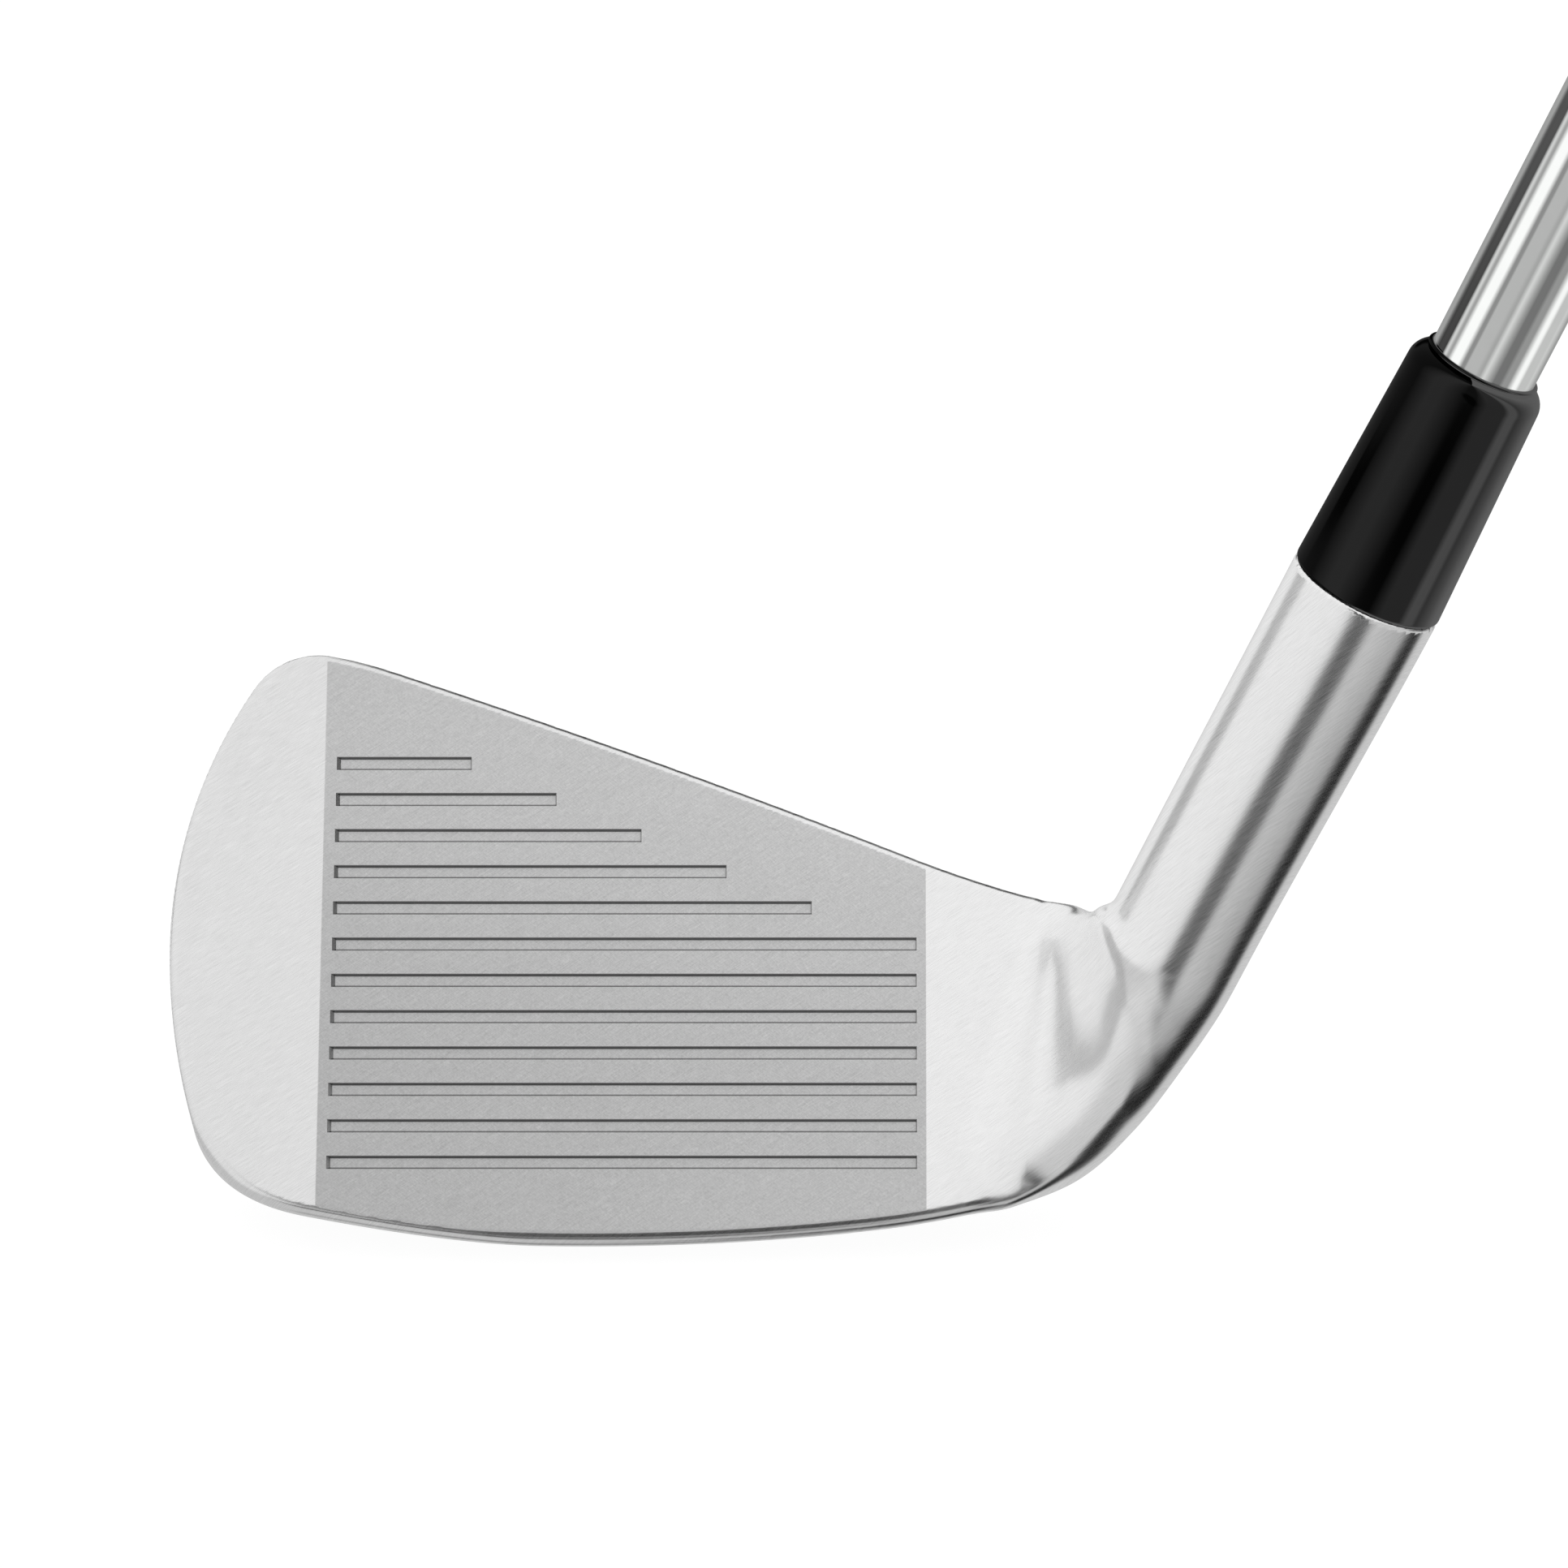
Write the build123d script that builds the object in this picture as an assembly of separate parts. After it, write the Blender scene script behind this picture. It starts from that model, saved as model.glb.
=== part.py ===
from build123d import *
import math
import os

# Iron golf club, right-handed, number seven, soled at address.
# +X runs from the toe towards the shaft side, +Y from the face towards the back, +Z up.
# Dimensions are in millimetres, measured from the point where the shaft axis meets the ground.
# The finished pieces are moved so that the origin is the sole's lowest point.

# ---- driving dimensions: the whole club --------------------------------------------------
LIE = 65.0                # shaft axis to the ground, degrees
LOFT = 34.0               # face to the vertical, degrees
CLUB_LENGTH = 940.0       # along the shaft axis, ground to the end of the grip cap (37 in)

# ---- head: blade --------------------------------------------------------------------------
FACE_Y = -6.2             # where the face plane meets the ground
# Outline corners on the face, each (heelwards from the origin, up the face from the ground).
TOP_LINE_HEEL = (3.0, 32.2)      # the top line runs into the neck
TOP_LINE_TOE = (-59.0, 54.55)    # it starts to round over at the toe
TOE_PEAK = (-61.7, 55.0)
TOE_SHOULDER = (-66.2, 53.0)
TOE_TIP = (-74.3, 27.5)
TOE_LOWER = (-72.8, 15.5)
SOLE_TOE = (-57.5, 3.0)
TOP_LINE_RADIUS = 550.0
CREST_RADIUS = 10.0
TOE_SHOULDER_RADIUS = 5.4
TOE_UPPER_RADIUS = 42.0
TOE_LOWER_RADIUS = 48.0
TOE_CORNER_RADIUS = 17.0
FACE_MARGIN = 4.0         # stock left ahead of the face before it is cut flat
BLADE_DEPTH = 40.0        # stock cut away beyond this depth behind the face
BLADE_REACH = 90.0        # and beyond this height up it
ROCKER_RADIUS = 205.0     # sole curve from heel to toe
ROCKER_SWEEP = 30.0       # degrees of the rocker that the sole is swept through
ROCKER_X = -38.0          # lowest point of the sole, along the blade
SOLE_LOW_Y = 4.5          # lowest point of the sole, front to back
SOLE_FRONT_RADIUS = 22.0  # sole camber ahead of its lowest point
SOLE_REAR_RADIUS = 30.0   # sole camber behind it
TRAILING_EDGE_Y = 13.5
BLADE_THICKNESS = 5.4     # upper blade, square to the face
MUSCLE_THICKNESS = 8.4    # top of the muscle, square to the face
MUSCLE_V = 27.0           # height of the muscle line up the face, at mid blade
MUSCLE_SLOPE = 5.0        # the muscle line climbs to the toe by this angle, degrees
MUSCLE_STEP = 3.0         # height over which the muscle falls to the thin blade
MUSCLE_RADIUS = 60.0      # hollow of the back below the muscle line
BLADE_HEEL_U = -3.0       # the blade ends here, inside the neck
LEADING_EDGE_RADIUS = 1.25
REAR_RIM_RADIUS = 1.2     # toe and top line, rear edge
SHORTEST_RIM = 1.0        # edges shorter than this are left square
SAME_WAY = 0.999          # dot product above which two directions count as the same

# ---- head: score lines --------------------------------------------------------------------
SCORE_COUNT = 12
SCORE_PITCH = 3.206
SCORE_WIDTH = 1.07
SCORE_DEPTH = 0.3
SCORE_WALL_DRAFT = 25.0   # degrees from square to the face
SCORE_FIRST_V = 9.91      # lowest score line
SCORE_TOE_U = -60.2
SCORE_HEEL_U = -9.5
SCORE_FULL_COUNT = 7      # the lower lines that run the full width
SCORE_STEP_U = 7.4        # each line above those stops this much sooner
SCORE_STEP_START = 9.1    # and the first of them by this much

# ---- head: hosel and neck -----------------------------------------------------------------
HOSEL_TOP = 67.5          # along the shaft axis
HOSEL_DIAMETER = 13.4     # at the top, under the ferrule
NECK_DIAMETER = 12.75     # lower down, where the hosel starts to bend
NECK_START = 42.0         # along the shaft axis: the taper ends here
BEND_START = 30.0         # along the shaft axis: the bend starts here
CROTCH = (4.3, 33.0)      # centre of the small curve between top line and hosel (x, z)
CROTCH_RADIUS = 3.6
# Neck sections below the hosel: plane angle, reach, set-back, thickness and lean of each.
NECK_STATIONS = [
    (50, 18.4, 0.8, 12.6, 8),
    (74, 23.2, 2.6, 12.4, 18),
    (90, 28.4, 5.0, 11.2, 26),
]
NECK_END = (-9.0, 8.2, 15.5)     # middle of the neck's end inside the blade
NECK_END_HEIGHT = 27.0
NECK_END_THICKNESS = 8.0
BORE_DEPTH = 32.0
BORE_TIP_ANGLE = 118.0    # drill point

# ---- shaft --------------------------------------------------------------------------------
TIP_DIAMETER = 9.02       # 0.355 in taper tip
TIP_TAPER = 0.0075        # diameter gained for each millimetre of length
TIP_TAPER_LENGTH = 127.0
BUTT_DIAMETER = 15.24     # 0.600 in
STEP_COUNT = 11
STEP_PITCH = 44.45        # 1.75 in
FIRST_STEP = 150.0        # from the tip
STEP_RAMP = 1.0           # length of each small cone between two diameters
WALL_TIP = 0.65
WALL_BUTT = 0.36
BOND_LINE = 0.12          # epoxy thickness

# ---- ferrule ------------------------------------------------------------------------------
FERRULE_LENGTH = 22.5
FERRULE_TOP_DIAMETER = 12.2
FERRULE_SHOULDER = 2.0    # height of the rounded shoulder at the top
FERRULE_ROUND = 2.1       # its radius
FERRULE_LIP_RADIUS = 5.05  # small raised lip around the shaft
FERRULE_LIP_HEIGHT = 0.6

# ---- tip weight ---------------------------------------------------------------------------
WEIGHT_LENGTH = 12.0
WEIGHT_FLANGE = 1.0

# ---- grip, tape and band ------------------------------------------------------------------
GRIP_LENGTH = 267.0       # 10.5 in, with the cap
GRIP_MOUTH_DIAMETER = 18.6
GRIP_MID_DIAMETER = 22.4
GRIP_BUTT_DIAMETER = 25.2
GRIP_MOUTH_BEVEL = 1.2
GRIP_MID_SHARE = 0.62     # where the middle diameter is, as a share of the grip's length
GRIP_BUTT_SHARE = 0.09    # and the butt diameter, below the cap
CAP_DIAMETER = 27.0
CAP_THICKNESS = 4.0
CAP_BAND = 7.0            # straight side of the cap
CAP_ROUND = 1.6
CAP_SKIRT_WALL = 2.2      # rubber between the cap's skirt and the grip's neck
VENT_RADIUS = 1.6
TAPE_THICKNESS = 0.25
TAPE_LENGTH = 250.0
BAND_LENGTH = 24.0
BAND_THICKNESS = 0.12
BAND_GAP = 9.0           # between the band and the grip's mouth

# ---- worked out ---------------------------------------------------------------------------
SHAFT_TIP = HOSEL_TOP - BORE_DEPTH + WEIGHT_FLANGE
SHAFT_BUTT = CLUB_LENGTH - CAP_THICKNESS
FERRULE_TOP = HOSEL_TOP + FERRULE_LENGTH
GRIP_MOUTH = CLUB_LENGTH - GRIP_LENGTH
LIE_COS = math.cos(math.radians(LIE))
LIE_SIN = math.sin(math.radians(LIE))
LOFT_COS = math.cos(math.radians(LOFT))
LOFT_SIN = math.sin(math.radians(LOFT))

# Along the shaft: local Z is the shaft axis, and local Y is the club's +Y.
AXIS = Plane(origin=(0, 0, 0), x_dir=(LIE_SIN, 0, -LIE_COS), z_dir=(LIE_COS, 0, LIE_SIN))
# On the face: local X runs heelwards, local Y up the face, local Z out of the face.
FACE = Plane(origin=(0, FACE_Y, 0), x_dir=(1, 0, 0), z_dir=(0, -LOFT_COS, LOFT_SIN))
# Across the blade: local X is up the face, local Y is into the body, local Z runs toewards.
SECTION = Plane(origin=(0, FACE_Y, 0), x_dir=(0, LOFT_SIN, LOFT_COS), z_dir=(-1, 0, 0))


def shaft_radius(distance):
    """Outside radius of the taper at a distance from the shaft's tip."""
    return (TIP_DIAMETER + TIP_TAPER * distance) / 2


def turned(points):
    """A solid of revolution about the shaft axis, from (radius, height) corners."""
    outline = Polyline(*points, close=True)
    return AXIS * revolve(Plane.XZ * make_face(outline), Axis.Z)


def blade_stock():
    """The sole's camber, swept round the rocker, with the muscle's back surface."""
    front_y = FACE_Y - FACE_MARGIN
    front_run = SOLE_LOW_Y - front_y
    front_rise = SOLE_FRONT_RADIUS - math.sqrt(SOLE_FRONT_RADIUS**2 - front_run**2)
    rear_run = TRAILING_EDGE_Y - SOLE_LOW_Y
    rear_rise = SOLE_REAR_RADIUS - math.sqrt(SOLE_REAR_RADIUS**2 - rear_run**2)
    low = (SOLE_LOW_Y, 0)
    front = (front_y, front_rise)
    rear = (TRAILING_EDGE_Y, rear_rise)
    muscle = section_to_side(MUSCLE_V, MUSCLE_THICKNESS)
    top_back = section_to_side(BLADE_REACH, MUSCLE_THICKNESS)
    top_front = (front_y, top_back[1])
    sole_front = RadiusArc(front, low, -SOLE_FRONT_RADIUS)
    sole_rear = RadiusArc(low, rear, -SOLE_REAR_RADIUS)
    back = RadiusArc(rear, muscle, -MUSCLE_RADIUS)
    rest = Polyline(muscle, top_back, top_front, front)
    profile = make_face([sole_front, sole_rear, back, rest])
    side = Plane(origin=(ROCKER_X, 0, 0), x_dir=(0, 1, 0), z_dir=(1, 0, 0))
    rocker_axis = Axis((ROCKER_X, 0, ROCKER_RADIUS), (0, 1, 0))
    swept = revolve(side * profile, rocker_axis, revolution_arc=ROCKER_SWEEP)
    return swept.rotate(rocker_axis, -ROCKER_SWEEP / 2)


def section_to_side(v, w):
    """A point up the face and into the body, as (y, z)."""
    return (FACE_Y + v * LOFT_SIN + w * LOFT_COS, v * LOFT_COS - w * LOFT_SIN)


def blade_outline():
    """The blade seen square to the face, as a closed face that runs on below the sole."""
    top_line = RadiusArc(TOP_LINE_HEEL, TOP_LINE_TOE, -TOP_LINE_RADIUS)
    crest = RadiusArc(TOP_LINE_TOE, TOE_PEAK, -CREST_RADIUS)
    corner = RadiusArc(TOE_PEAK, TOE_SHOULDER, -TOE_SHOULDER_RADIUS)
    toe = RadiusArc(TOE_SHOULDER, TOE_TIP, -TOE_UPPER_RADIUS)
    lower = RadiusArc(TOE_TIP, TOE_LOWER, -TOE_LOWER_RADIUS)
    turn = RadiusArc(TOE_LOWER, SOLE_TOE, -TOE_CORNER_RADIUS)
    below = (SOLE_TOE[0], -BLADE_DEPTH)
    heel = Polyline(SOLE_TOE, below, (BLADE_HEEL_U, -BLADE_DEPTH), TOP_LINE_HEEL)
    return make_face([top_line, crest, corner, toe, lower, turn, heel])


def thin_back():
    """The metal taken away behind the upper blade, down to the muscle line."""
    low = (MUSCLE_V, MUSCLE_THICKNESS + MUSCLE_STEP)
    thin = (MUSCLE_V + MUSCLE_STEP, BLADE_THICKNESS)
    step = RadiusArc(low, thin, MUSCLE_STEP * 2)
    top = (BLADE_REACH, BLADE_THICKNESS)
    top_back = (BLADE_REACH, BLADE_DEPTH)
    low_back = (MUSCLE_V, BLADE_DEPTH)
    rest = Polyline(thin, top, top_back, low_back, low)
    tool = Pos(0, 0, -ROCKER_X) * extrude(make_face([step, rest]), amount=BLADE_REACH, both=True)
    return SECTION * tool.rotate(Axis((0, 0, -ROCKER_X), (0, 1, 0)), -MUSCLE_SLOPE)


def blade():
    """Face, top line, toe, muscle and sole."""
    prism = FACE * extrude(blade_outline(), amount=-BLADE_DEPTH)
    return (blade_stock() & prism) - thin_back()


def fanned_section(turn, outer, back, thickness, lean):
    """One ellipse of the neck, on a plane that fans out from the crotch.

    turn is the plane's angle below the horizontal, outer its reach from the crotch's centre to
    the heel's outline, back how far its middle lies behind the shaft axis, thickness its width
    from front to back, and lean its tilt towards the face's loft.
    """
    angle = math.radians(turn)
    outwards = Vector(math.cos(angle), 0, -math.sin(angle))
    square = Vector(math.sin(angle), 0, math.cos(angle))
    centre = Vector(CROTCH[0], back, CROTCH[1]) + outwards * ((outer + CROTCH_RADIUS) / 2)
    across = Plane(origin=centre, x_dir=outwards, z_dir=square)
    return across * Rot(0, 0, -lean) * Ellipse((outer - CROTCH_RADIUS) / 2, thickness / 2)


def neck():
    """The bend from the hosel into the blade's heel."""
    top = AXIS * Pos(0, 0, BEND_START) * Circle(NECK_DIAMETER / 2)
    sections = [top] + [fanned_section(*station) for station in NECK_STATIONS]
    heel_plane = Plane(origin=NECK_END, x_dir=(0, 0, -1), z_dir=(1, 0, 0))
    end = heel_plane * Rot(0, 0, -LOFT) * Ellipse(NECK_END_HEIGHT / 2, NECK_END_THICKNESS / 2)
    return loft(sections + [end])


def hosel():
    """The straight hosel: a slightly waisted cylinder on the shaft axis."""
    top = HOSEL_DIAMETER / 2
    low = NECK_DIAMETER / 2
    taper = [(low, BEND_START), (low, NECK_START), (top, HOSEL_TOP)]
    return turned([(0, BEND_START)] + taper + [(0, HOSEL_TOP)])


def rounded_blade():
    """The blade with its leading edge and rear rim rounded."""
    body = blade()
    leading = face_edges(body, 1).filter_by(GeomType.BSPLINE)
    body = fillet(leading, LEADING_EDGE_RADIUS)
    arcs = face_edges(body, -1).filter_by(GeomType.CIRCLE)
    rear_rim = arcs.filter_by(lambda edge: edge.length > SHORTEST_RIM)
    return fillet(rear_rim, REAR_RIM_RADIUS)


def face_edges(body, side):
    """Edges of the flat face (side 1) or of the flat upper back (side -1)."""
    flats = body.faces().filter_by(GeomType.PLANE)
    facing = flats.filter_by(lambda flat: flat.normal_at().dot(FACE.z_dir) * side > SAME_WAY)
    return facing.sort_by(SortBy.AREA)[-1].edges()


def score_lines():
    """The cutters for the score lines: long bars with sloping walls."""
    cutters = []
    half_width = SCORE_WIDTH / 2
    half_floor = half_width - SCORE_DEPTH * math.tan(math.radians(SCORE_WALL_DRAFT))
    mouth = [(-half_width, 0), (half_width, 0)]
    floor = [(half_floor, -SCORE_DEPTH), (-half_floor, -SCORE_DEPTH)]
    across = Plane(origin=(SCORE_TOE_U, 0, 0), x_dir=(0, 1, 0), z_dir=(1, 0, 0))
    for line in range(SCORE_COUNT):
        shortened = max(0, line - SCORE_FULL_COUNT) * SCORE_STEP_U
        if line >= SCORE_FULL_COUNT:
            shortened += SCORE_STEP_START
        length = SCORE_HEEL_U - SCORE_TOE_U - shortened
        bar = extrude(across * make_face(Polyline(*mouth, *floor, close=True)), amount=length)
        cutters.append(FACE * Pos(0, SCORE_FIRST_V + line * SCORE_PITCH, 0) * bar)
    return cutters


def bore():
    """The tapered hole for the shaft, with the drill's point below it."""
    bottom = HOSEL_TOP - BORE_DEPTH
    low = shaft_radius(0) + BOND_LINE
    top = shaft_radius(HOSEL_TOP - SHAFT_TIP) + BOND_LINE
    point = bottom - low / math.tan(math.radians(BORE_TIP_ANGLE / 2))
    return turned([(0, point), (low, bottom), (top, HOSEL_TOP), (0, HOSEL_TOP)])


def head():
    """The forged head: blade, neck and hosel in one piece, with score lines and bore."""
    body = rounded_blade() + hosel() + neck()
    return body - score_lines() - bore()


def shaft_profile():
    """Outside corners of the shaft, (radius, height), from tip to butt."""
    taper_end = TIP_TAPER_LENGTH
    corners = [(shaft_radius(0), SHAFT_TIP), (shaft_radius(taper_end), SHAFT_TIP + taper_end)]
    radius = shaft_radius(taper_end)
    growth = (BUTT_DIAMETER / 2 - radius) / STEP_COUNT
    for step in range(STEP_COUNT):
        height = SHAFT_TIP + FIRST_STEP + step * STEP_PITCH
        corners.append((radius, height))
        radius += growth
        corners.append((radius, height + STEP_RAMP))
    corners.append((radius, SHAFT_BUTT))
    return corners


def shaft():
    """The hollow stepped steel shaft."""
    outside = shaft_profile()
    inside = []
    for radius, height in reversed(outside):
        along = (height - SHAFT_TIP) / (SHAFT_BUTT - SHAFT_TIP)
        wall = WALL_TIP + (WALL_BUTT - WALL_TIP) * along
        inside.append((radius - wall, height))
    return turned(outside + inside)


def hosel_bond():
    """The epoxy between shaft and hosel."""
    low = shaft_radius(0)
    top = shaft_radius(HOSEL_TOP - SHAFT_TIP)
    inner = [(low, SHAFT_TIP), (top, HOSEL_TOP)]
    outer = [(top + BOND_LINE, HOSEL_TOP), (low + BOND_LINE, SHAFT_TIP)]
    return turned(inner + outer)


def tip_weight():
    """The brass swing weight: a pin pressed into the shaft's tip, with a flange below it."""
    pin = shaft_radius(0) - WALL_TIP
    flange = shaft_radius(0)
    bottom = HOSEL_TOP - BORE_DEPTH
    pin_end = SHAFT_TIP + WEIGHT_LENGTH
    below = [(0, bottom), (flange, bottom), (flange, SHAFT_TIP)]
    inside = [(pin, SHAFT_TIP), (pin, pin_end), (0, pin_end)]
    return turned(below + inside)


def ferrule():
    """The collar that covers the joint, with a rounded shoulder and a small lip at its top."""
    shoulder = FERRULE_TOP - FERRULE_LIP_HEIGHT - FERRULE_SHOULDER
    top_radius = FERRULE_TOP_DIAMETER / 2
    low_bore = shaft_radius(HOSEL_TOP - SHAFT_TIP)
    top_bore = shaft_radius(FERRULE_TOP - SHAFT_TIP)
    lip_foot = (FERRULE_LIP_RADIUS, FERRULE_TOP - FERRULE_LIP_HEIGHT)
    side = Polyline((low_bore, HOSEL_TOP), (HOSEL_DIAMETER / 2, HOSEL_TOP), (top_radius, shoulder))
    round_over = RadiusArc((top_radius, shoulder), lip_foot, -FERRULE_ROUND)
    lip_top = (FERRULE_LIP_RADIUS, FERRULE_TOP)
    lip = Polyline(lip_foot, lip_top, (top_bore, FERRULE_TOP), (low_bore, HOSEL_TOP))
    return AXIS * revolve(Plane.XZ * make_face([side, round_over, lip]), Axis.Z)


def grip_tape():
    """Double-sided tape wound on the shaft's butt."""
    inner = BUTT_DIAMETER / 2
    outer = inner + TAPE_THICKNESS
    low = SHAFT_BUTT - TAPE_LENGTH
    return turned([(inner, low), (outer, low), (outer, SHAFT_BUTT), (inner, SHAFT_BUTT)])


def grip():
    """The rubber sleeve, swelling to the butt, with a neck that sits inside the cap."""
    core = BUTT_DIAMETER / 2 + TAPE_THICKNESS
    mouth_core = BUTT_DIAMETER / 2
    tape_start = SHAFT_BUTT - TAPE_LENGTH
    cap_mouth = CLUB_LENGTH - CAP_BAND
    neck_radius = CAP_DIAMETER / 2 - CAP_SKIRT_WALL
    outside = Spline(
        (GRIP_MOUTH_DIAMETER / 2, GRIP_MOUTH + GRIP_MOUTH_BEVEL),
        (GRIP_MID_DIAMETER / 2, GRIP_MOUTH + GRIP_LENGTH * GRIP_MID_SHARE),
        (GRIP_BUTT_DIAMETER / 2, cap_mouth - GRIP_LENGTH * GRIP_BUTT_SHARE),
        (CAP_DIAMETER / 2, cap_mouth),
    )
    neck_foot = (neck_radius, cap_mouth)
    neck_end = (neck_radius, SHAFT_BUTT)
    upper = Polyline((CAP_DIAMETER / 2, cap_mouth), neck_foot, neck_end, (core, SHAFT_BUTT))
    mouth_inner = (mouth_core, GRIP_MOUTH)
    inside = Polyline((core, SHAFT_BUTT), (core, tape_start), (mouth_core, tape_start), mouth_inner)
    mouth_radius = GRIP_MOUTH_DIAMETER / 2
    bevel_foot = (mouth_radius - GRIP_MOUTH_BEVEL / 2, GRIP_MOUTH)
    mouth = Polyline(mouth_inner, bevel_foot, (mouth_radius, GRIP_MOUTH + GRIP_MOUTH_BEVEL))
    return AXIS * revolve(Plane.XZ * make_face([outside, upper, inside, mouth]), Axis.Z)


def grip_cap():
    """The moulded end cap: a shallow cup with a vent hole through its end."""
    radius = CAP_DIAMETER / 2
    neck_radius = radius - CAP_SKIRT_WALL
    mouth = CLUB_LENGTH - CAP_BAND
    hollow = [(VENT_RADIUS, SHAFT_BUTT), (neck_radius, SHAFT_BUTT), (neck_radius, mouth)]
    skirt = [(radius, mouth), (radius, CLUB_LENGTH - CAP_ROUND)]
    side = Polyline((VENT_RADIUS, CLUB_LENGTH), *hollow, *skirt)
    edge = RadiusArc(skirt[1], (radius - CAP_ROUND, CLUB_LENGTH), -CAP_ROUND)
    end = Line((radius - CAP_ROUND, CLUB_LENGTH), (VENT_RADIUS, CLUB_LENGTH))
    return AXIS * revolve(Plane.XZ * make_face([side, edge, end]), Axis.Z)


def shaft_band():
    """The printed film band below the grip, left plain."""
    inner = BUTT_DIAMETER / 2
    outer = inner + BAND_THICKNESS
    top = GRIP_MOUTH - BAND_GAP
    low = top - BAND_LENGTH
    return turned([(inner, low), (outer, low), (outer, top), (inner, top)])


PIECES = {
    "head": head,
    "hosel_bond": hosel_bond,
    "tip_weight": tip_weight,
    "ferrule": ferrule,
    "shaft": shaft,
    "shaft_band": shaft_band,
    "grip_tape": grip_tape,
    "grip": grip,
    "grip_cap": grip_cap,
}

to_sole = Pos(-ROCKER_X, -SOLE_LOW_Y, 0)
os.makedirs("parts", exist_ok=True)
for name, build in PIECES.items():
    export_step(to_sole * build(), f"parts/{name}.step")
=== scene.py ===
import math

import bmesh
import bpy
import numpy as np
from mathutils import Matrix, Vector


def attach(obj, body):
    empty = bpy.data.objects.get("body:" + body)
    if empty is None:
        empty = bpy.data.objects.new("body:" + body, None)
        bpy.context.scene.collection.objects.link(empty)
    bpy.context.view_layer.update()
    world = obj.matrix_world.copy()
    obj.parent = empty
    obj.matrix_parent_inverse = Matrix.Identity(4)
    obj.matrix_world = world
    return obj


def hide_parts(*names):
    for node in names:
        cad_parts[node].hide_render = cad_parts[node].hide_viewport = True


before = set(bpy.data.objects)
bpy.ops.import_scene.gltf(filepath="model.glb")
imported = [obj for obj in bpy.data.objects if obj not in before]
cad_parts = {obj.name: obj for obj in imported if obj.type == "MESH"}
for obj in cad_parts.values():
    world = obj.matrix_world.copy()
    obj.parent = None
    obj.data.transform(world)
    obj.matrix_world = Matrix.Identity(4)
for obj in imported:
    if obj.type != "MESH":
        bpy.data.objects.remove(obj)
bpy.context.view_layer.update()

# ---- driving dimensions -------------------------------------------------------------------
# Head lengths are millimetres from the point where the shaft axis meets the ground; the
# finished meshes are moved to the frame's origin, the sole's lowest point, and scaled to metres.
MM = 0.001
ROCKER_X = -38.0                      # the sole's lowest point: from the axis, toewards
SOLE_LOW_Y = 4.5                      # and behind it
LIE_DEGREES = 65.0
LIE = math.radians(LIE_DEGREES)
LOFT = math.radians(34)
FACE_Y = -6.2                         # where the face plane meets the ground
TOE_TIP = (-74.3, 28.5)               # on the face: heelwards, up the face
# Arcs of the face outline from the toe tip: radius and turn in degrees.
UPPER_ARCS = [(42.0, 34.0), (6.7, 66.5), (39.0, 8.0), (845.0, 8.5)]
LOWER_ARCS = [(55.0, 15.0), (13.5, 60.0)]
TOP_LINE_LIFT = 0.006                 # of the square of the distance past the lift's start
TOP_LINE_LIFT_U = -10.0
TOP_LINE_LIFT_REACH = 11.0
OUTLINE_ROUND = 3.5                   # where the outline meets the sole
ROCKER_RADIUS = 214.0
SOLE_FRONT_RADIUS = 22.0
SOLE_REAR_RADIUS = 30.0
SOLE_RELIEF = 0.0035                  # of the square of the distance past its start, at the heel
SOLE_RELIEF_START = 24.0              # heelwards of the rocker
BLADE_THICKNESS = 5.4
MUSCLE_LINE = 25.5                    # height of the muscle's top edge up the face, at the rocker
MUSCLE_SLANT = 0.085                  # and its climb to the toe
MUSCLE_CENTRE = (-36.6, -21.8)        # up the face, into the body
MUSCLE_RADIUS = 61.0
MUSCLE_DEPTH = 8.4
MUSCLE_EDGE = 0.8
MUSCLE_VALLEY = 3.0
LEADING_EDGE_ROUND = (1.35, 0.65)     # radius at the sole and up the face
REAR_EDGE_ROUND = (1.2, 2.6)          # radius up the back and at the sole
HOSEL_TOP = 67.5                      # along the shaft axis
HOSEL_RADIUS = 6.7
NECK_RADIUS = 6.33
NECK_START = 42.0
HEAD_LOW = np.array([-77.0, -9.0, -1.5])
HEAD_HIGH = np.array([37.0, 33.0, 69.0])
CELL = 0.35                           # mesh size of the head
FLAT = 0.001                          # points nearer than this to a flat are on it
EDGE_CLEAR = 1.6                      # the score lines' flat stops this short of the face's edge

# Heel and neck. The neck's sections are fanned about the crotch, where hosel and top line meet.
HEEL_END = (3.6, 16.5)                # a point of the blade's slanting end, seen from above
HEEL_END_SLANT = (0.69, 0.72)         # and the direction it faces
HEEL_ROUND = 4.0
HEEL_INSET = 3.0                      # the blade's heel inside the neck's outer side
HEEL_SINK = 10.0                      # the inset ends over HEEL_SINK_TURN
HEEL_SINK_TURN = (86, 118)
HEEL_TURNS = (-60, 122)               # angles over which the neck's side limits the blade
CROTCH = (3.6, 34.6)
CROTCH_CLEAR = 8.0                    # distance returned beyond the fan, clear of the blend
CROTCH_BLEND = (5.5, 4.5, 9.0)        # valley between blade and hosel: width, more near the crotch, reach
WEB_START = (0.5, 14.4, 21.9)         # a rod that fills the crotch
WEB_END = (10.0, 2.6, 27.3)
WEB_RADIUS = 2.3
WEB_BLEND = 4.0
NECK_TAKES_OVER = (22, 62)            # angles over which the straight hosel gives way to the neck
NECK_FADE = (98, 122)                 # angles over which the neck sinks into the blade
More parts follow.
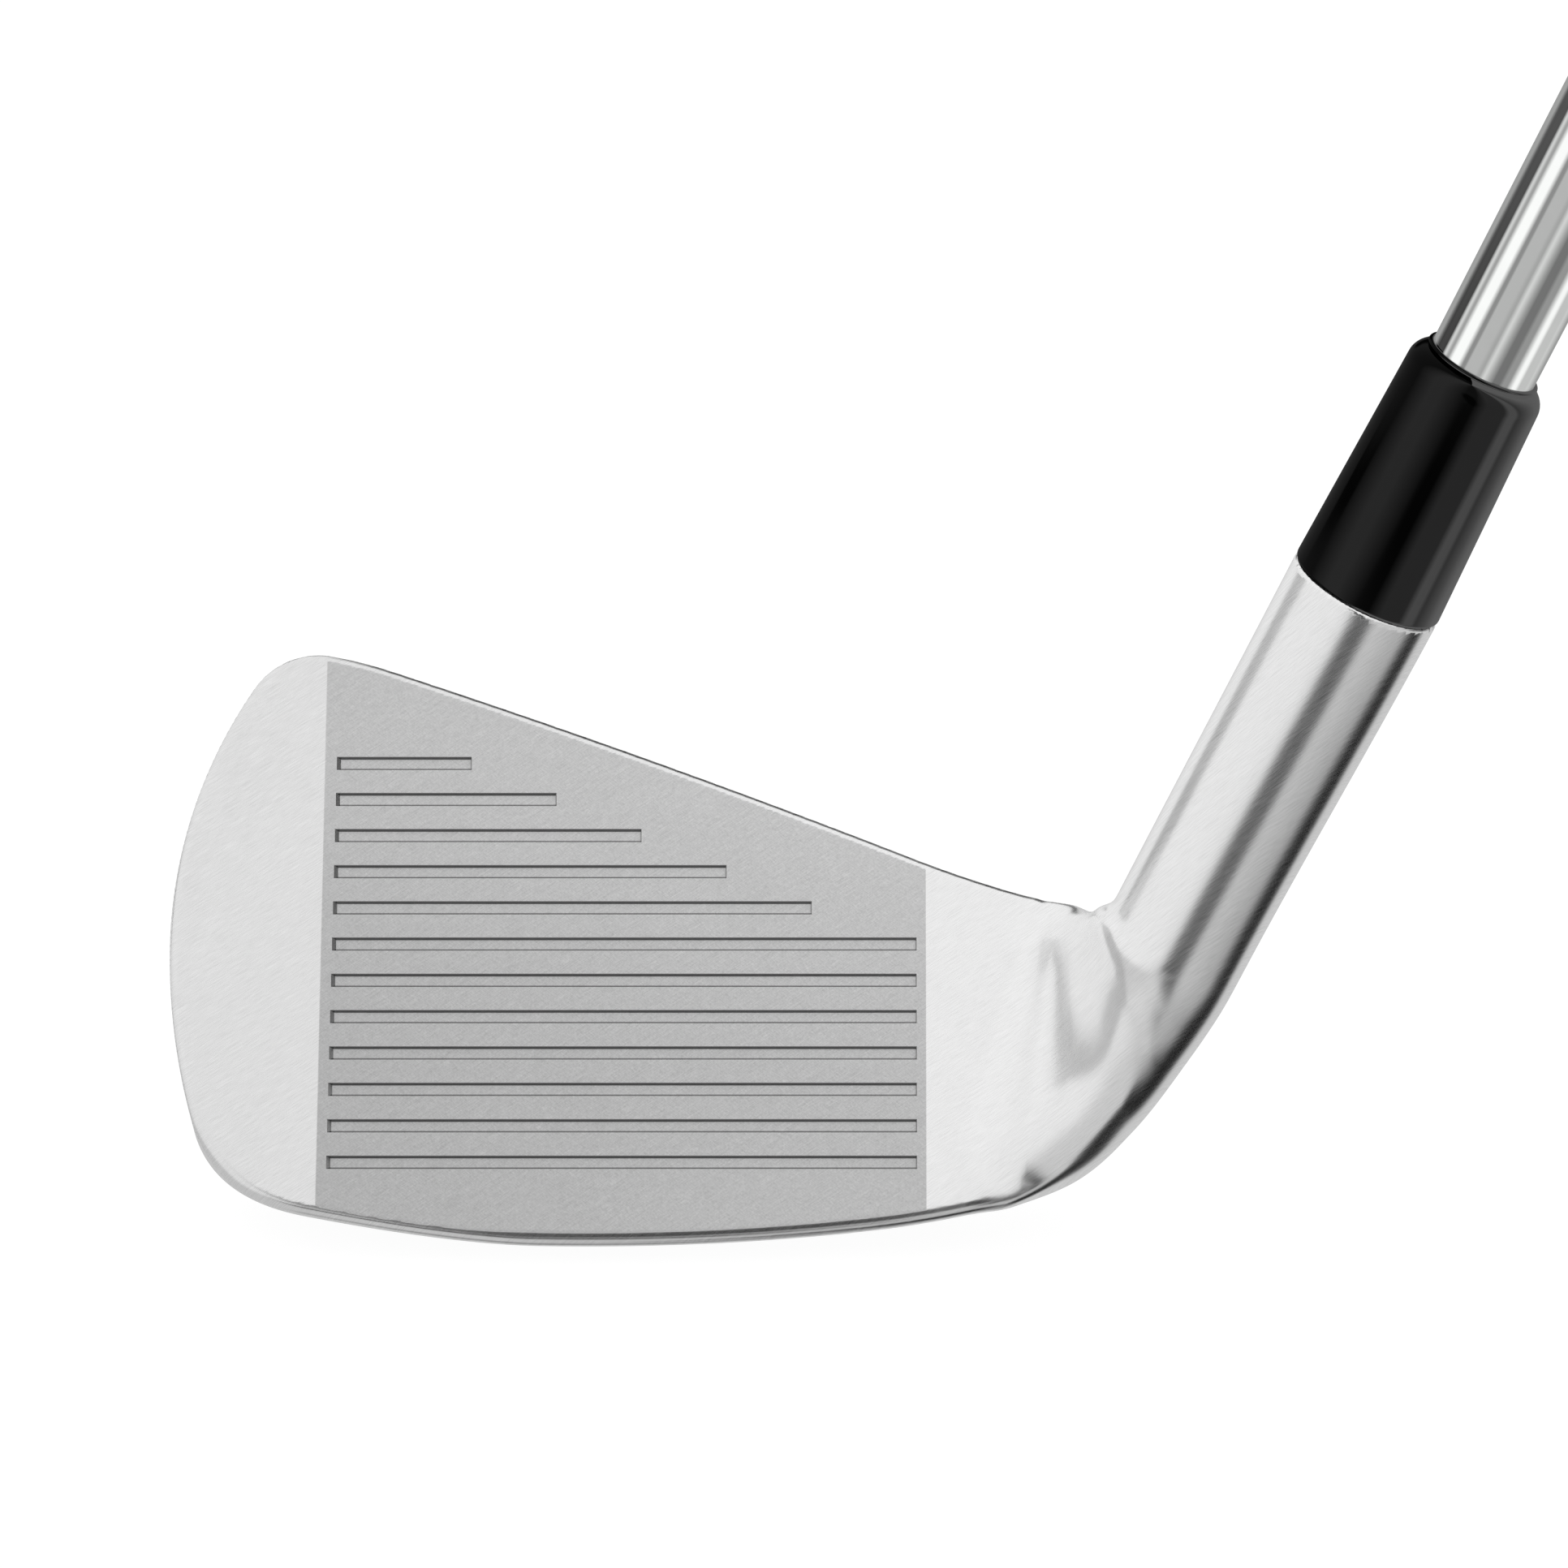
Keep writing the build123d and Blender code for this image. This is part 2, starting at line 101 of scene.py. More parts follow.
# Neck sections: angle below the horizontal, inner and outer reach, radii of the inner and outer
# rounds, and how far each has moved from the hosel to the blade.
FAN = [
    (25, 4.47, 17.13, 6.34, 6.34, 0.00, 0.00),
    (38, 4.34, 17.50, 6.34, 6.34, 0.00, 0.00),
    (51, 4.25, 18.60, 6.20, 6.36, 0.03, 0.01),
    (64, 4.90, 20.85, 5.60, 6.50, 0.11, 0.04),
    (77, 6.70, 24.65, 4.80, 6.80, 0.32, 0.13),
    (90, 9.30, 29.85, 4.00, 7.10, 0.66, 0.36),
    (103, 12.0, 33.3, 3.30, 6.60, 0.92, 0.70),
    (122, 14.5, 35.4, 2.60, 4.80, 1.00, 1.00),
]
HOSEL_LEAN = 0.58                     # how far the hosel's foot lies toewards of the axis
HOSEL_END_ROUND = 0.35

# Score lines, on the face.
SCORE_COUNT = 12
SCORE_PITCH = 3.206
SCORE_FIRST_V = 9.91
SCORE_TOE_U = -60.5
SCORE_TOE_SLANT = 0.06                # each line starts this much nearer the heel
SCORE_HEEL_U = -9.5
SCORE_FULL_COUNT = 7                  # the lines above these stop short
SCORE_SHORT_U = -18.6
SCORE_STEP_U = 7.4
SCORE_WIDTH = 1.07
SCORE_DEPTH = 0.34
SCORE_WALL = 0.14                     # run of the long walls
SCORE_TOE_RUN = 0.30                  # run of the ends
SCORE_HEEL_RUN = 0.04
SCORE_LIP = 0.05                      # bevel round the mouth
SCORE_CLEAR = 1.5                     # the score lines' flat goes this far past their heel ends

# Blasted panel, on the face.
PANEL_TOE_U = -61.47
PANEL_TOE_SLANT = 0.0143
PANEL_HEEL_U = -8.65
PANEL_EDGE = 0.06                     # half width of its soft edge

# Shaft and bore.
BORE_DEPTH = 32.0
BORE_TOP_RADIUS = 4.76
BORE_LOW_RADIUS = 4.64
BORE_SIDES = 48
SHAFT_TIP = HOSEL_TOP - BORE_DEPTH + 1.0
TIP_DIAMETER = 9.02
TIP_TAPER = 0.0075
TIP_TAPER_LENGTH = 127.0
BUTT_DIAMETER = 15.24
STEP_COUNT = 11
STEP_PITCH = 44.45
FIRST_STEP = 150.0
STEP_RAMP = 1.0
WALL = 0.5
CLUB_LENGTH = 940.0

# Ferrule and band.
FIT = 0.01                            # clearance that keeps touching skins apart
FERRULE_TOP = HOSEL_TOP + 22.5
FERRULE_TOP_RADIUS = 6.1
FERRULE_SHOULDER = 1.7
FERRULE_ROUND = 1.8
LIP_RADIUS = 5.1
LIP_HEIGHT = 0.45
BAND_LENGTH = 24.0
BAND_THICKNESS = 0.1
BAND_GAP = 9.0

# Grip and cap.
GRIP_LENGTH = 267.0
GRIP_MOUTH = CLUB_LENGTH - GRIP_LENGTH
TAPE_THICKNESS = 0.25
CAP_BAND = 7.0
CAP_THICKNESS = 4.0
CAP_RADIUS = 13.5
CAP_WALL = 2.2
CAP_ROUND = 1.6
CAP_RINGS = (9.6, 6.6)                # radii of the moulded rings
CAP_DISH = 4.6
VENT_RADIUS = 1.6
SHAFT_BUTT = CLUB_LENGTH - CAP_THICKNESS
GRIP_SIDES = 144
GRIP_CELL = 0.55
GRIP_STARTS = 12                      # helical grooves each way
GRIP_HELIX = 72.0                     # length of one turn of a groove
GRIP_GROOVE = 0.4
GRIP_FIELDS = [(9.0, 92.0), (99.0, 172.0), (179.0, 247.0)]
GRIP_RINGS = [5.0, 95.5, 175.5, 251.0]
GRIP_SHARES = [0.0, 0.3, 0.62, 0.91]  # along the grip, with its outside radius there
GRIP_RADII = [9.3, 10.35, 11.2, 12.6]
GRIP_ROUND = 0.9                      # at the mouth

# Studio and camera.
FLOOR_RADIUS = 30.0
FLOOR_GAP = 0.05
CAMERA_ELEVATION = math.radians(22)
CAMERA_DISTANCE = 1056.3
VIEW_WIDTH = 136.05                   # at the camera's distance
VIEW_CENTRE = (-20.96, 40.07)         # from the axis on the ground: across, and up the picture
CLIP_NEAR = 0.05                      # metres, as is the next
CLIP_FAR = 60.0
RING_FRONT = np.array([-0.1525, -0.9857, 0.0711])   # where the angle round the shaft is 0
# Painted reflection bands that the shaft's and the ferrule's materials glow with: from and to, in degrees
# round the axis, and level.
# From one band to the next the level changes evenly.
SHAFT_BANDS = [
    (-180, -140, 0.3),
    (-125, -97, 0.0),
    (-90, -87, 0.6),
    (-81, -77, 0.3),
    (-67, -50, 1.0),
    (-40, -34, 0.2),
    (-30, 3, 0.42),
    (11, 13, 0.72),
    (34, 48, 0.12),
    (56, 67, 0.27),
    (81, 89, 1.0),
    (97, 125, 0.6),
    (150, 180, 0.3),
]
FERRULE_BANDS = [
    (-180, -95, 0.0),
    (-60, -40, 0.018),
    (-5, 15, 0.001),
    (35, 67, 0.018),
    (78, 90, 0.065),
    (97, 100, 0.035),
    (140, 180, 0.1),
]
# The tent round the head: levels at the toe side, the heel side, overhead, below and straight down.
TENT_TOE = 0.82
TENT_HEEL = 0.56
TENT_TOP = 0.87
TENT_LOW = 0.60
TENT_BOTTOM = 0.30
# Cards and flags in the tent: start and end as azimuth and elevation, half width, softness, level.
STRIPS = [
    ((-107, 5), (-127, 1), 2, 2, 0.06),
    ((96, 2), (120, 4), 12, 8, 0.10),
    ((152, 12), (-168, 12), 7, 4, 0.04),
    ((10, -38), (55, -42), 8, 7, 0.42),
    ((-13, -14), (2, -23), 7, 5, 0.01),
    ((1, 22), (2, 0), 11, 4, 0.003),
    ((168, 18), (152, 56), 6, 4, 0.02),
    ((20, -57), (40, -62), 9, 4, 0.003),
    ((40, -62), (82, -57), 13, 5, 0.003),
    ((82, -57), (101, -46), 14, 5, 0.003),
]

AXIS = np.array([math.cos(LIE), 0.0, math.sin(LIE)])
ACROSS = np.array([AXIS[2], 0.0, -AXIS[0]])         # square to the axis, heelwards
BACK = np.array([0.0, 1.0, 0.0])
FACE_NORMAL = np.array([0.0, -math.cos(LOFT), math.sin(LOFT)])
FACE_UP = np.array([0.0, math.sin(LOFT), math.cos(LOFT)])
GROUND = np.array([-ROCKER_X, -SOLE_LOW_Y, 0.0])   # from the frame's origin to the axis on the ground


def to_frame(points):
    """Head points in millimetres to frame points in metres."""
    return (points + GROUND) * MM


# ---- head shape: signed distances, negative inside ----------------------------------------
def round_max(a, b, radius):
    """Intersection of two solids with its edge rounded."""
    both = np.hypot(np.maximum(a + radius, 0), np.maximum(b + radius, 0))
    return np.minimum(np.maximum(a, b), -radius) + both


def soft_min(a, b, width):
    """Union of two solids with a soft valley between them."""
    near = np.maximum(width - np.abs(a - b), 0) / width
    return np.minimum(a, b) - near**3 * width / 6


def ease(x, low, high):
    """0 below low, 1 above high, smooth between."""
    t = np.clip((x - low) / (high - low), 0, 1)
    return t * t * (3 - 2 * t)


def curve(x, knots, values):
    """A smooth curve through a few knots, flat beyond its ends."""
    knots = np.asarray(knots, float)
    values = np.asarray(values, float)
    slopes = np.zeros(len(knots))
    slopes[1:-1] = (values[2:] - values[:-2]) / (knots[2:] - knots[:-2])
    x = np.clip(x, knots[0], knots[-1])
    i = np.clip(np.searchsorted(knots, x) - 1, 0, len(knots) - 2)
    span = knots[i + 1] - knots[i]
    t = (x - knots[i]) / span
    start = (1 + 2 * t) * (1 - t) ** 2 * values[i] + t * (1 - t) ** 2 * span * slopes[i]
    end = t * t * (3 - 2 * t) * values[i + 1] + t * t * (t - 1) * span * slopes[i + 1]
    return start + end


def face_coordinates(p):
    """Heelwards, up the face, and into the body."""
    y = p[:, 1] - FACE_Y
    up = y * math.sin(LOFT) + p[:, 2] * math.cos(LOFT)
    into = y * math.cos(LOFT) - p[:, 2] * math.sin(LOFT)
    return p[:, 0], up, into


def arc_chain(start, heading, arcs, side):
    """Tangent arcs from a start point: centre, radius, first angle and sweep of each, and the end."""
    x, y = start
    chain = []
    for radius, turn in arcs:
        centre = (x - side * radius * math.sin(heading), y + side * radius * math.cos(heading))
        first = heading - side * math.pi / 2
        sweep = math.radians(turn)
        chain.append((centre, radius, first, sweep))
        heading += side * sweep
        last = first + side * sweep
        x = centre[0] + radius * math.cos(last)
        y = centre[1] + radius * math.sin(last)
    return chain, (x, y), heading


def outline_distance(u, v):
    """Distance outside the blade's outline, on the face."""
    outside = np.full(u.shape, -40.0)
    for heading, arcs, side in ((math.pi / 2, UPPER_ARCS, -1), (-math.pi / 2, LOWER_ARCS, 1)):
        chain, end, last = arc_chain(TOE_TIP, heading, arcs, side)
        for centre, radius, first, sweep in chain:
            du = u - centre[0]
            dv = v - centre[1]
            turned = np.mod(side * (np.arctan2(dv, du) - first) + math.pi, 2 * math.pi) - math.pi
            inside = (turned >= 0) & (turned <= sweep)
            outside = np.where(inside, np.maximum(outside, np.hypot(du, dv) - radius), outside)
        along = (u - end[0]) * math.cos(last) + (v - end[1]) * math.sin(last)
        beyond = -side * ((v - end[1]) * math.cos(last) - (u - end[0]) * math.sin(last))
        outside = np.where(along > 0, np.maximum(outside, beyond), outside)
    lifted = np.clip(u - TOP_LINE_LIFT_U, 0, TOP_LINE_LIFT_REACH)
    return outside - TOP_LINE_LIFT * lifted**2


def sole_distance(p):
    """Distance below the sole: a camber from front to back, carried round the rocker."""
    dx = p[:, 0] - ROCKER_X
    height = ROCKER_RADIUS - np.hypot(dx, p[:, 2] - ROCKER_RADIUS)
    height = height - SOLE_RELIEF * np.maximum(dx - SOLE_RELIEF_START, 0) ** 2
    y = p[:, 1] - SOLE_LOW_Y
    camber = np.where(y < 0, SOLE_FRONT_RADIUS, SOLE_REAR_RADIUS)
    return np.hypot(y, height - camber) - camber


def back_distance(u, v, w):
    """Distance behind the thin upper blade and the muscle below it."""
    thin = w - BLADE_THICKNESS
    line = MUSCLE_LINE - MUSCLE_SLANT * (u - ROCKER_X)
    muscle = np.hypot(v - MUSCLE_CENTRE[0], w - MUSCLE_CENTRE[1]) - MUSCLE_RADIUS
    top = (v - line) * 0.8 + (w - MUSCLE_DEPTH) * 0.6
    muscle = round_max(muscle, top, MUSCLE_EDGE)
    return soft_min(thin, muscle, MUSCLE_VALLEY)


def heel_reach(p):
    """Angle below the horizontal and reach about the crotch, in the front view."""
    dx = p[:, 0] - CROTCH[0]
    dz = CROTCH[1] - p[:, 2]
    return np.degrees(np.arctan2(dz, dx)), np.hypot(dx, dz)


def blade_distance(p):
    """The blade: outline, sole, back and heel end, cut by the flat face."""
    u, v, w = face_coordinates(p)
    wall = outline_distance(u, v)
    sole = sole_distance(p)
    back = back_distance(u, v, w)
    edge = round_max(wall, sole, OUTLINE_ROUND)
    at_sole = ease(-v, -18, -10)
    rear_radius = REAR_EDGE_ROUND[0] + (REAR_EDGE_ROUND[1] - REAR_EDGE_ROUND[0]) * at_sole
    body = round_max(edge, back, rear_radius)
    slant = (p[:, 0] - HEEL_END[0]) * HEEL_END_SLANT[0] + (p[:, 1] - HEEL_END[1]) * HEEL_END_SLANT[1]
    body = round_max(body, slant, HEEL_ROUND)
    turn, reach = heel_reach(p)
    bend = reach - curve(turn, [row[0] for row in FAN], [row[2] for row in FAN]) + HEEL_INSET
    bend = bend - HEEL_SINK * ease(turn, *HEEL_SINK_TURN)
    beside = (turn > HEEL_TURNS[0]) & (turn < HEEL_TURNS[1])
    body = round_max(body, np.where(beside, bend, -40), HEEL_ROUND)
    at_sole = ease(-v, -14, -6)
    front_radius = LEADING_EDGE_ROUND[1] + (LEADING_EDGE_ROUND[0] - LEADING_EDGE_ROUND[1]) * at_sole
    return round_max(body, -w, front_radius)


def neck_distance(p):
    """The bend from the hosel to the blade: two rounds and their tangents, on planes about the crotch."""
    turn, reach = heel_reach(p)
    beyond = (turn > FAN[-1][0]) | (turn < -90)
    table = np.array(FAN, float)
    inner, outer, inner_radius, outer_radius, inner_share, outer_share = (
        curve(turn, table[:, 0], table[:, k]) for k in range(1, 7)
    )
    inner_at = inner + inner_radius
    outer_at = outer - outer_radius
    drop = np.sin(np.radians(turn))
    inner_back = inner_share * face_seat(CROTCH[1] - inner_at * drop, inner_radius)
    outer_back = outer_share * face_seat(CROTCH[1] - outer_at * drop, outer_radius)
    run = np.maximum(outer_at - inner_at, 0.05)
    rise = outer_back - inner_back
    length = np.hypot(run, rise)
    off_reach = reach - inner_at
    off_back = p[:, 1] - inner_back
    along = (off_reach * run + off_back * rise) / length
    across = np.abs(off_reach * rise - off_back * run) / length
    sine = np.clip((inner_radius - outer_radius) / length, -0.9, 0.9)
    cosine = np.sqrt(1 - sine**2)
    station = along * cosine - across * sine
    side = across * cosine + along * sine - inner_radius
    inner_end = np.hypot(along, across) - inner_radius
    outer_end = np.hypot(along - length, across) - outer_radius
    section = np.where(station < 0, inner_end, np.where(station > length * cosine, outer_end, side))
    section = section + CROTCH_CLEAR * ease(turn, *NECK_FADE)
    return np.where(beyond, CROTCH_CLEAR, section)


def face_seat(height, radius):
    """How far back a round of some radius lies when it touches the face plane from behind."""
    return FACE_Y + height * math.tan(LOFT) + radius / math.cos(LOFT)


def hosel_distance(p):
    """The straight hosel. Lower down it is a little narrower and leans to the toe."""
    along = p @ AXIS
    upper = ease(along, NECK_START - 14, HOSEL_TOP + 4)
    off = p - along[:, None] * AXIS + (HOSEL_LEAN * (1 - upper))[:, None] * ACROSS
    radius = NECK_RADIUS + (HOSEL_RADIUS - NECK_RADIUS) * upper
    return np.sqrt((off**2).sum(1)) - radius


def web_distance(p):
    """The fill in the crotch: a rod from the top line's end to the hosel's toe side."""
    rod = np.subtract(WEB_END, WEB_START)
    off = p - WEB_START
    share = np.clip(off @ rod / (rod @ rod), 0, 1)
    return np.sqrt(((off - share[:, None] * rod) ** 2).sum(1)) - WEB_RADIUS


def head_distance(p):
    """The whole head: blade, neck and hosel, blended, and cut off at the hosel's end."""
    along = p @ AXIS
    turn, reach = heel_reach(p)
    bent = np.where(turn < -90, 1, ease(turn, *NECK_TAKES_OVER))
    tube = hosel_distance(p) * (1 - bent) + neck_distance(p) * bent
    width, extra, fade = CROTCH_BLEND
    width = width + extra * np.exp(-(reach / fade) ** 2)
    body = soft_min(blade_distance(p), tube, width)
    body = soft_min(body, web_distance(p), WEB_BLEND)
    return round_max(body, along - HOSEL_TOP, HOSEL_END_ROUND)


def gradient(distance, points, step=0.01):
    """Central differences of a distance, one row for each point."""
    columns = []
    for axis in range(3):
        offset = np.zeros(3)
        offset[axis] = step
        columns.append((distance(points + offset) - distance(points - offset)) / (2 * step))
    return np.stack(columns, 1)


def sampled(distance, low, high, cell):
    """Distance on a grid. Far from the surface a coarse grid's sign is enough."""
    coarse = cell * 4
    shape = np.ceil((high - low) / coarse).astype(int) + 1
    axes = [low[k] + coarse * np.arange(shape[k]) for k in range(3)]
    grid = np.stack(np.meshgrid(*axes, indexing="ij"), -1).reshape(-1, 3)
    rough = distance(grid).reshape(shape)
    fine = np.repeat(np.repeat(np.repeat(rough, 4, 0), 4, 1), 4, 2)
    near = np.argwhere(np.abs(fine) < coarse * 2.2)
    points = low + (near - 1.5) * cell
    fine[tuple(near.T)] = distance(points)
    return fine, low - 1.5 * cell


def surface_nets(values, low, cell):
    """Quads round the zero level of a grid: one vertex in each cell that it crosses."""
    inside = values < 0
    count = np.zeros(np.array(values.shape) - 1, int)
    for i in (0, 1):
        for j in (0, 1):
            for k in (0, 1):
                nx, ny, nz = count.shape
                count += inside[i:i + nx, j:j + ny, k:k + nz]
    active = (count > 0) & (count < 8)
    index = np.full(active.shape, -1)
    index[active] = np.arange(active.sum())
    vertices = low + (np.argwhere(active) + 0.5) * cell
    quads = []
    for axis in range(3):
        one, two = [a for a in range(3) if a != axis]
        first = np.take(inside, range(0, inside.shape[axis] - 1), axis)
        second = np.take(inside, range(1, inside.shape[axis]), axis)
        crossing = np.argwhere(first != second)
        keep = (crossing[:, one] > 0) & (crossing[:, two] > 0)
        keep &= (crossing[:, one] < active.shape[one]) & (crossing[:, two] < active.shape[two])
        crossing = crossing[keep]
        corners = []
        for a, b in ((-1, -1), (0, -1), (0, 0), (-1, 0)):
            at = crossing.copy()
            at[:, one] += a
            at[:, two] += b
            corners.append(index[tuple(at.T)])
        quad = np.stack(corners, 1)
        flip = first[tuple(crossing.T)] != (axis == 1)
        quad[~flip] = quad[~flip][:, ::-1]
        quads.append(quad)
    return vertices, np.concatenate(quads)


def settle(distance, points, rounds=4):
    """Moves points onto the zero level."""
    for _ in range(rounds):
        slope = gradient(distance, points)
        size = np.maximum((slope**2).sum(1), 1e-6)
        points = points - (distance(points) / size)[:, None] * slope
    return points


def directed_edges(faces):
    """Each face's edges, in order round it."""
    return np.stack([faces, np.roll(faces, -1, axis=1)], 2).reshape(-1, 2)


def cut_flat(faces, flat):
    """Takes the faces on a flat away, and gives the edges round the gap."""
    gone = flat[faces].all(1)
    edges = directed_edges(faces[gone])
    count = faces.max() + 1
    forward = edges[:, 0] * count + edges[:, 1]
    backward = edges[:, 1] * count + edges[:, 0]
    return faces[~gone], edges[~np.isin(forward, backward)]


def fill_flat(vertices, edges, rings, normal):
    """Triangles between a gap's edge and the mouths of the recesses in it."""
    bm = bmesh.new()
    numbers = list(np.unique(edges)) + [i for ring in rings for i in ring]
    made = {int(i): bm.verts.new(vertices[i]) for i in numbers}
    number = {vertex: i for i, vertex in made.items()}
    pairs = [(int(a), int(b)) for a, b in edges]
    for ring in rings:
        pairs += [(ring[i - 1], ring[i]) for i in range(len(ring))]
    lines = [bm.edges.new((made[a], made[b])) for a, b in pairs]
    filled = bmesh.ops.triangle_fill(bm, use_beauty=True, edges=lines, normal=Vector(normal))
    found = []
    for item in filled["geom"]:
        if isinstance(item, bmesh.types.BMFace):
            corners = [number[vertex] for vertex in item.verts]
            if item.normal.dot(Vector(normal)) < 0:
                corners.reverse()
            found.append(corners)
    bm.free()
    return found


def recess(first, sections):
    """Vertices, walls and floor of a recess from its rings, mouth first."""
    points = np.concatenate(sections)
    size = len(sections[0])
    faces = []
    for level in range(len(sections) - 1):
        for i in range(size):
            j = (i + 1) % size
            low = first + level * size
            faces.append([low + i, low + j, low + size + j, low + size + i])
    faces.append([first + len(points) - size + i for i in range(size)])
    return points, faces


def on_face(u, v, w):
    """Head coordinates of a point given on the face."""
    y = FACE_Y + v * math.sin(LOFT) + w * math.cos(LOFT)
    return (u, y, v * math.cos(LOFT) - w * math.sin(LOFT))


def score_line(line):
    """Rings of one score line: mouth, lip and floor."""
    v = SCORE_FIRST_V + line * SCORE_PITCH
    toe = SCORE_TOE_U + line * SCORE_TOE_SLANT
    heel = SCORE_HEEL_U
    if line >= SCORE_FULL_COUNT:
        heel = SCORE_SHORT_U - (line - SCORE_FULL_COUNT) * SCORE_STEP_U
    rings = []
    mouth_ring = (-SCORE_LIP, -SCORE_LIP, -SCORE_LIP, 0)
    lip_ring = (0, 0, 0, SCORE_LIP)
    floor_ring = (SCORE_WALL, SCORE_TOE_RUN, SCORE_HEEL_RUN, SCORE_DEPTH)
    for wall, toe_run, heel_run, depth in (mouth_ring, lip_ring, floor_ring):
        half = SCORE_WIDTH / 2 - wall
        left = toe + toe_run
        right = heel - heel_run
        corners = [(left, v - half), (right, v - half), (right, v + half), (left, v + half)]
        rings.append(np.array([on_face(a, b, depth) for a, b in corners]))
    return rings


def on_panel(points):
    """Points on the flat of the face, clear of its rounded edges."""
    u, v, w = face_coordinates(points)
    inside = (np.abs(w) < FLAT) & (u < SCORE_HEEL_U + SCORE_CLEAR)
    return inside & (outline_distance(u, v) < -EDGE_CLEAR) & (sole_distance(points) < -EDGE_CLEAR)


def bore_rings():
    """Rings of the hosel's bore, from the hosel's end down."""
    rings = []
    for radius, along in ((BORE_TOP_RADIUS, HOSEL_TOP), (BORE_LOW_RADIUS, HOSEL_TOP - BORE_DEPTH)):
        turns = np.linspace(0, 2 * math.pi, BORE_SIDES, endpoint=False)[:, None]
        rings.append(AXIS * along + radius * (np.cos(turns) * ACROSS + np.sin(turns) * BACK))
    return rings


def head_mesh():
    """The forging: the solid's surface with score lines and bore cut into its flats."""
    values, start = sampled(head_distance, HEAD_LOW, HEAD_HIGH, CELL)
    vertices, quads = surface_nets(values, start, CELL)
    vertices = settle(head_distance, vertices)
    normals = gradient(head_distance, vertices)
    normals /= np.maximum(np.linalg.norm(normals, axis=1), 1e-9)[:, None]
    faces = []
    walled = []
    flats = [
        (on_panel(vertices), FACE_NORMAL, [score_line(i) for i in range(SCORE_COUNT)]),
        (np.abs(vertices @ AXIS - HOSEL_TOP) < FLAT, AXIS, [bore_rings()]),
    ]
    for flat, normal, recesses in flats:
        flat = np.concatenate([flat, np.zeros(len(vertices) - len(flat), bool)])
        quads, edges = cut_flat(quads, flat)
        mouths = []
        for sections in recesses:
            first = len(vertices)
            points, walls = recess(first, sections)
            vertices = np.concatenate([vertices, points])
            mouths.append(list(range(first, first + len(sections[0]))))
            walled += walls
        faces += fill_flat(vertices, edges, mouths, normal)
    polygons = quads.tolist() + faces + walled
    # Points that the cut flats left behind are dropped.
    used = sorted({corner for polygon in polygons for corner in polygon})
    place = {old: new for new, old in enumerate(used)}
    polygons = [[place[corner] for corner in polygon] for polygon in polygons]
    normals = normals[[old for old in used if old < len(normals)]]
    mesh = bpy.data.meshes.new("head_forging")
    mesh.from_pydata(to_frame(vertices[used]).tolist(), [], polygons)
    mesh.update()
    recessed = mesh.attributes.new("recessed", "FLOAT", "FACE")
    recessed.data.foreach_set("value", [0.0] * (len(quads) + len(faces)) + [1.0] * len(walled))
    set_normals(mesh, normals, len(quads))
    return mesh


def set_normals(mesh, normals, smooth_count):
    """The solid's own normals on its curved surface, and flat ones on the cut faces."""
    corner_vertices = np.zeros(len(mesh.loops), int)
    mesh.loops.foreach_get("vertex_index", corner_vertices)
    flat_normals = np.zeros(len(mesh.polygons) * 3)
    mesh.polygons.foreach_get("normal", flat_normals)
    sizes = np.zeros(len(mesh.polygons), int)
    mesh.polygons.foreach_get("loop_total", sizes)
    corner_faces = np.repeat(np.arange(len(sizes)), sizes)
    corner_normals = flat_normals.reshape(-1, 3)[corner_faces]
    smooth = (corner_faces < smooth_count) & (corner_vertices < len(normals))
    corner_normals[smooth] = normals[corner_vertices[smooth]]
    mesh.polygons.foreach_set("use_smooth", [True] * len(mesh.polygons))
    mesh.normals_split_custom_set(corner_normals.tolist())


def new_piece(name, mesh, node, material):
    """A shown piece that rides on the club and stands for a CAD node."""
    piece = bpy.data.objects.new(name, mesh)
    bpy.context.collection.objects.link(piece)
    mesh.materials.append(material)
    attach(piece, "root")
    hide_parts(node)
    return piece


# ---- turned pieces ------------------------------------------------------------------------
def arc(centre, radius, first, last, steps):
    """Points of a (radius, height) profile along an arc, angles in degrees."""
    turns = np.radians(np.linspace(first, last, steps))
    return [(centre[0] + radius * math.cos(a), centre[1] + radius * math.sin(a)) for a in turns]


def around_axis(turns):
    """Unit vectors square to the shaft axis, at angles round it."""
    return np.outer(np.cos(turns), ACROSS) + np.outer(np.sin(turns), BACK)


def turned(name, profile, sides, crease=30):
    """A closed solid turned about the shaft axis from (radius, height) corners."""
    profile = np.array(profile, float)
    ring = around_axis(np.linspace(0, 2 * math.pi, sides, endpoint=False))
    points = profile[:, None, 0, None] * ring[None] + profile[:, None, 1, None] * AXIS
    return grid_mesh(name, points, crease)


def grid_mesh(name, points, crease):
    """A mesh closed both ways over a grid of points: profile steps by turns."""
    steps, sides = points.shape[:2]
    low = np.arange(steps * sides).reshape(steps, sides)
    high = np.roll(low, -1, axis=0)
    corners = [low, np.roll(low, -1, axis=1), np.roll(high, -1, axis=1), high]
    faces = np.stack(corners, 2).reshape(-1, 4)
    mesh = bpy.data.meshes.new(name)
    mesh.from_pydata(to_frame(points.reshape(-1, 3)).tolist(), [], faces.tolist())
    mesh.polygons.foreach_set("use_smooth", [True] * len(mesh.polygons))
    mesh.set_sharp_from_angle(angle=math.radians(crease))
    mesh.update()
    return mesh


def shaft_radius(distance):
    """Outside radius of the tip's taper, at a distance from the shaft's tip."""
    return (TIP_DIAMETER + TIP_TAPER * distance) / 2


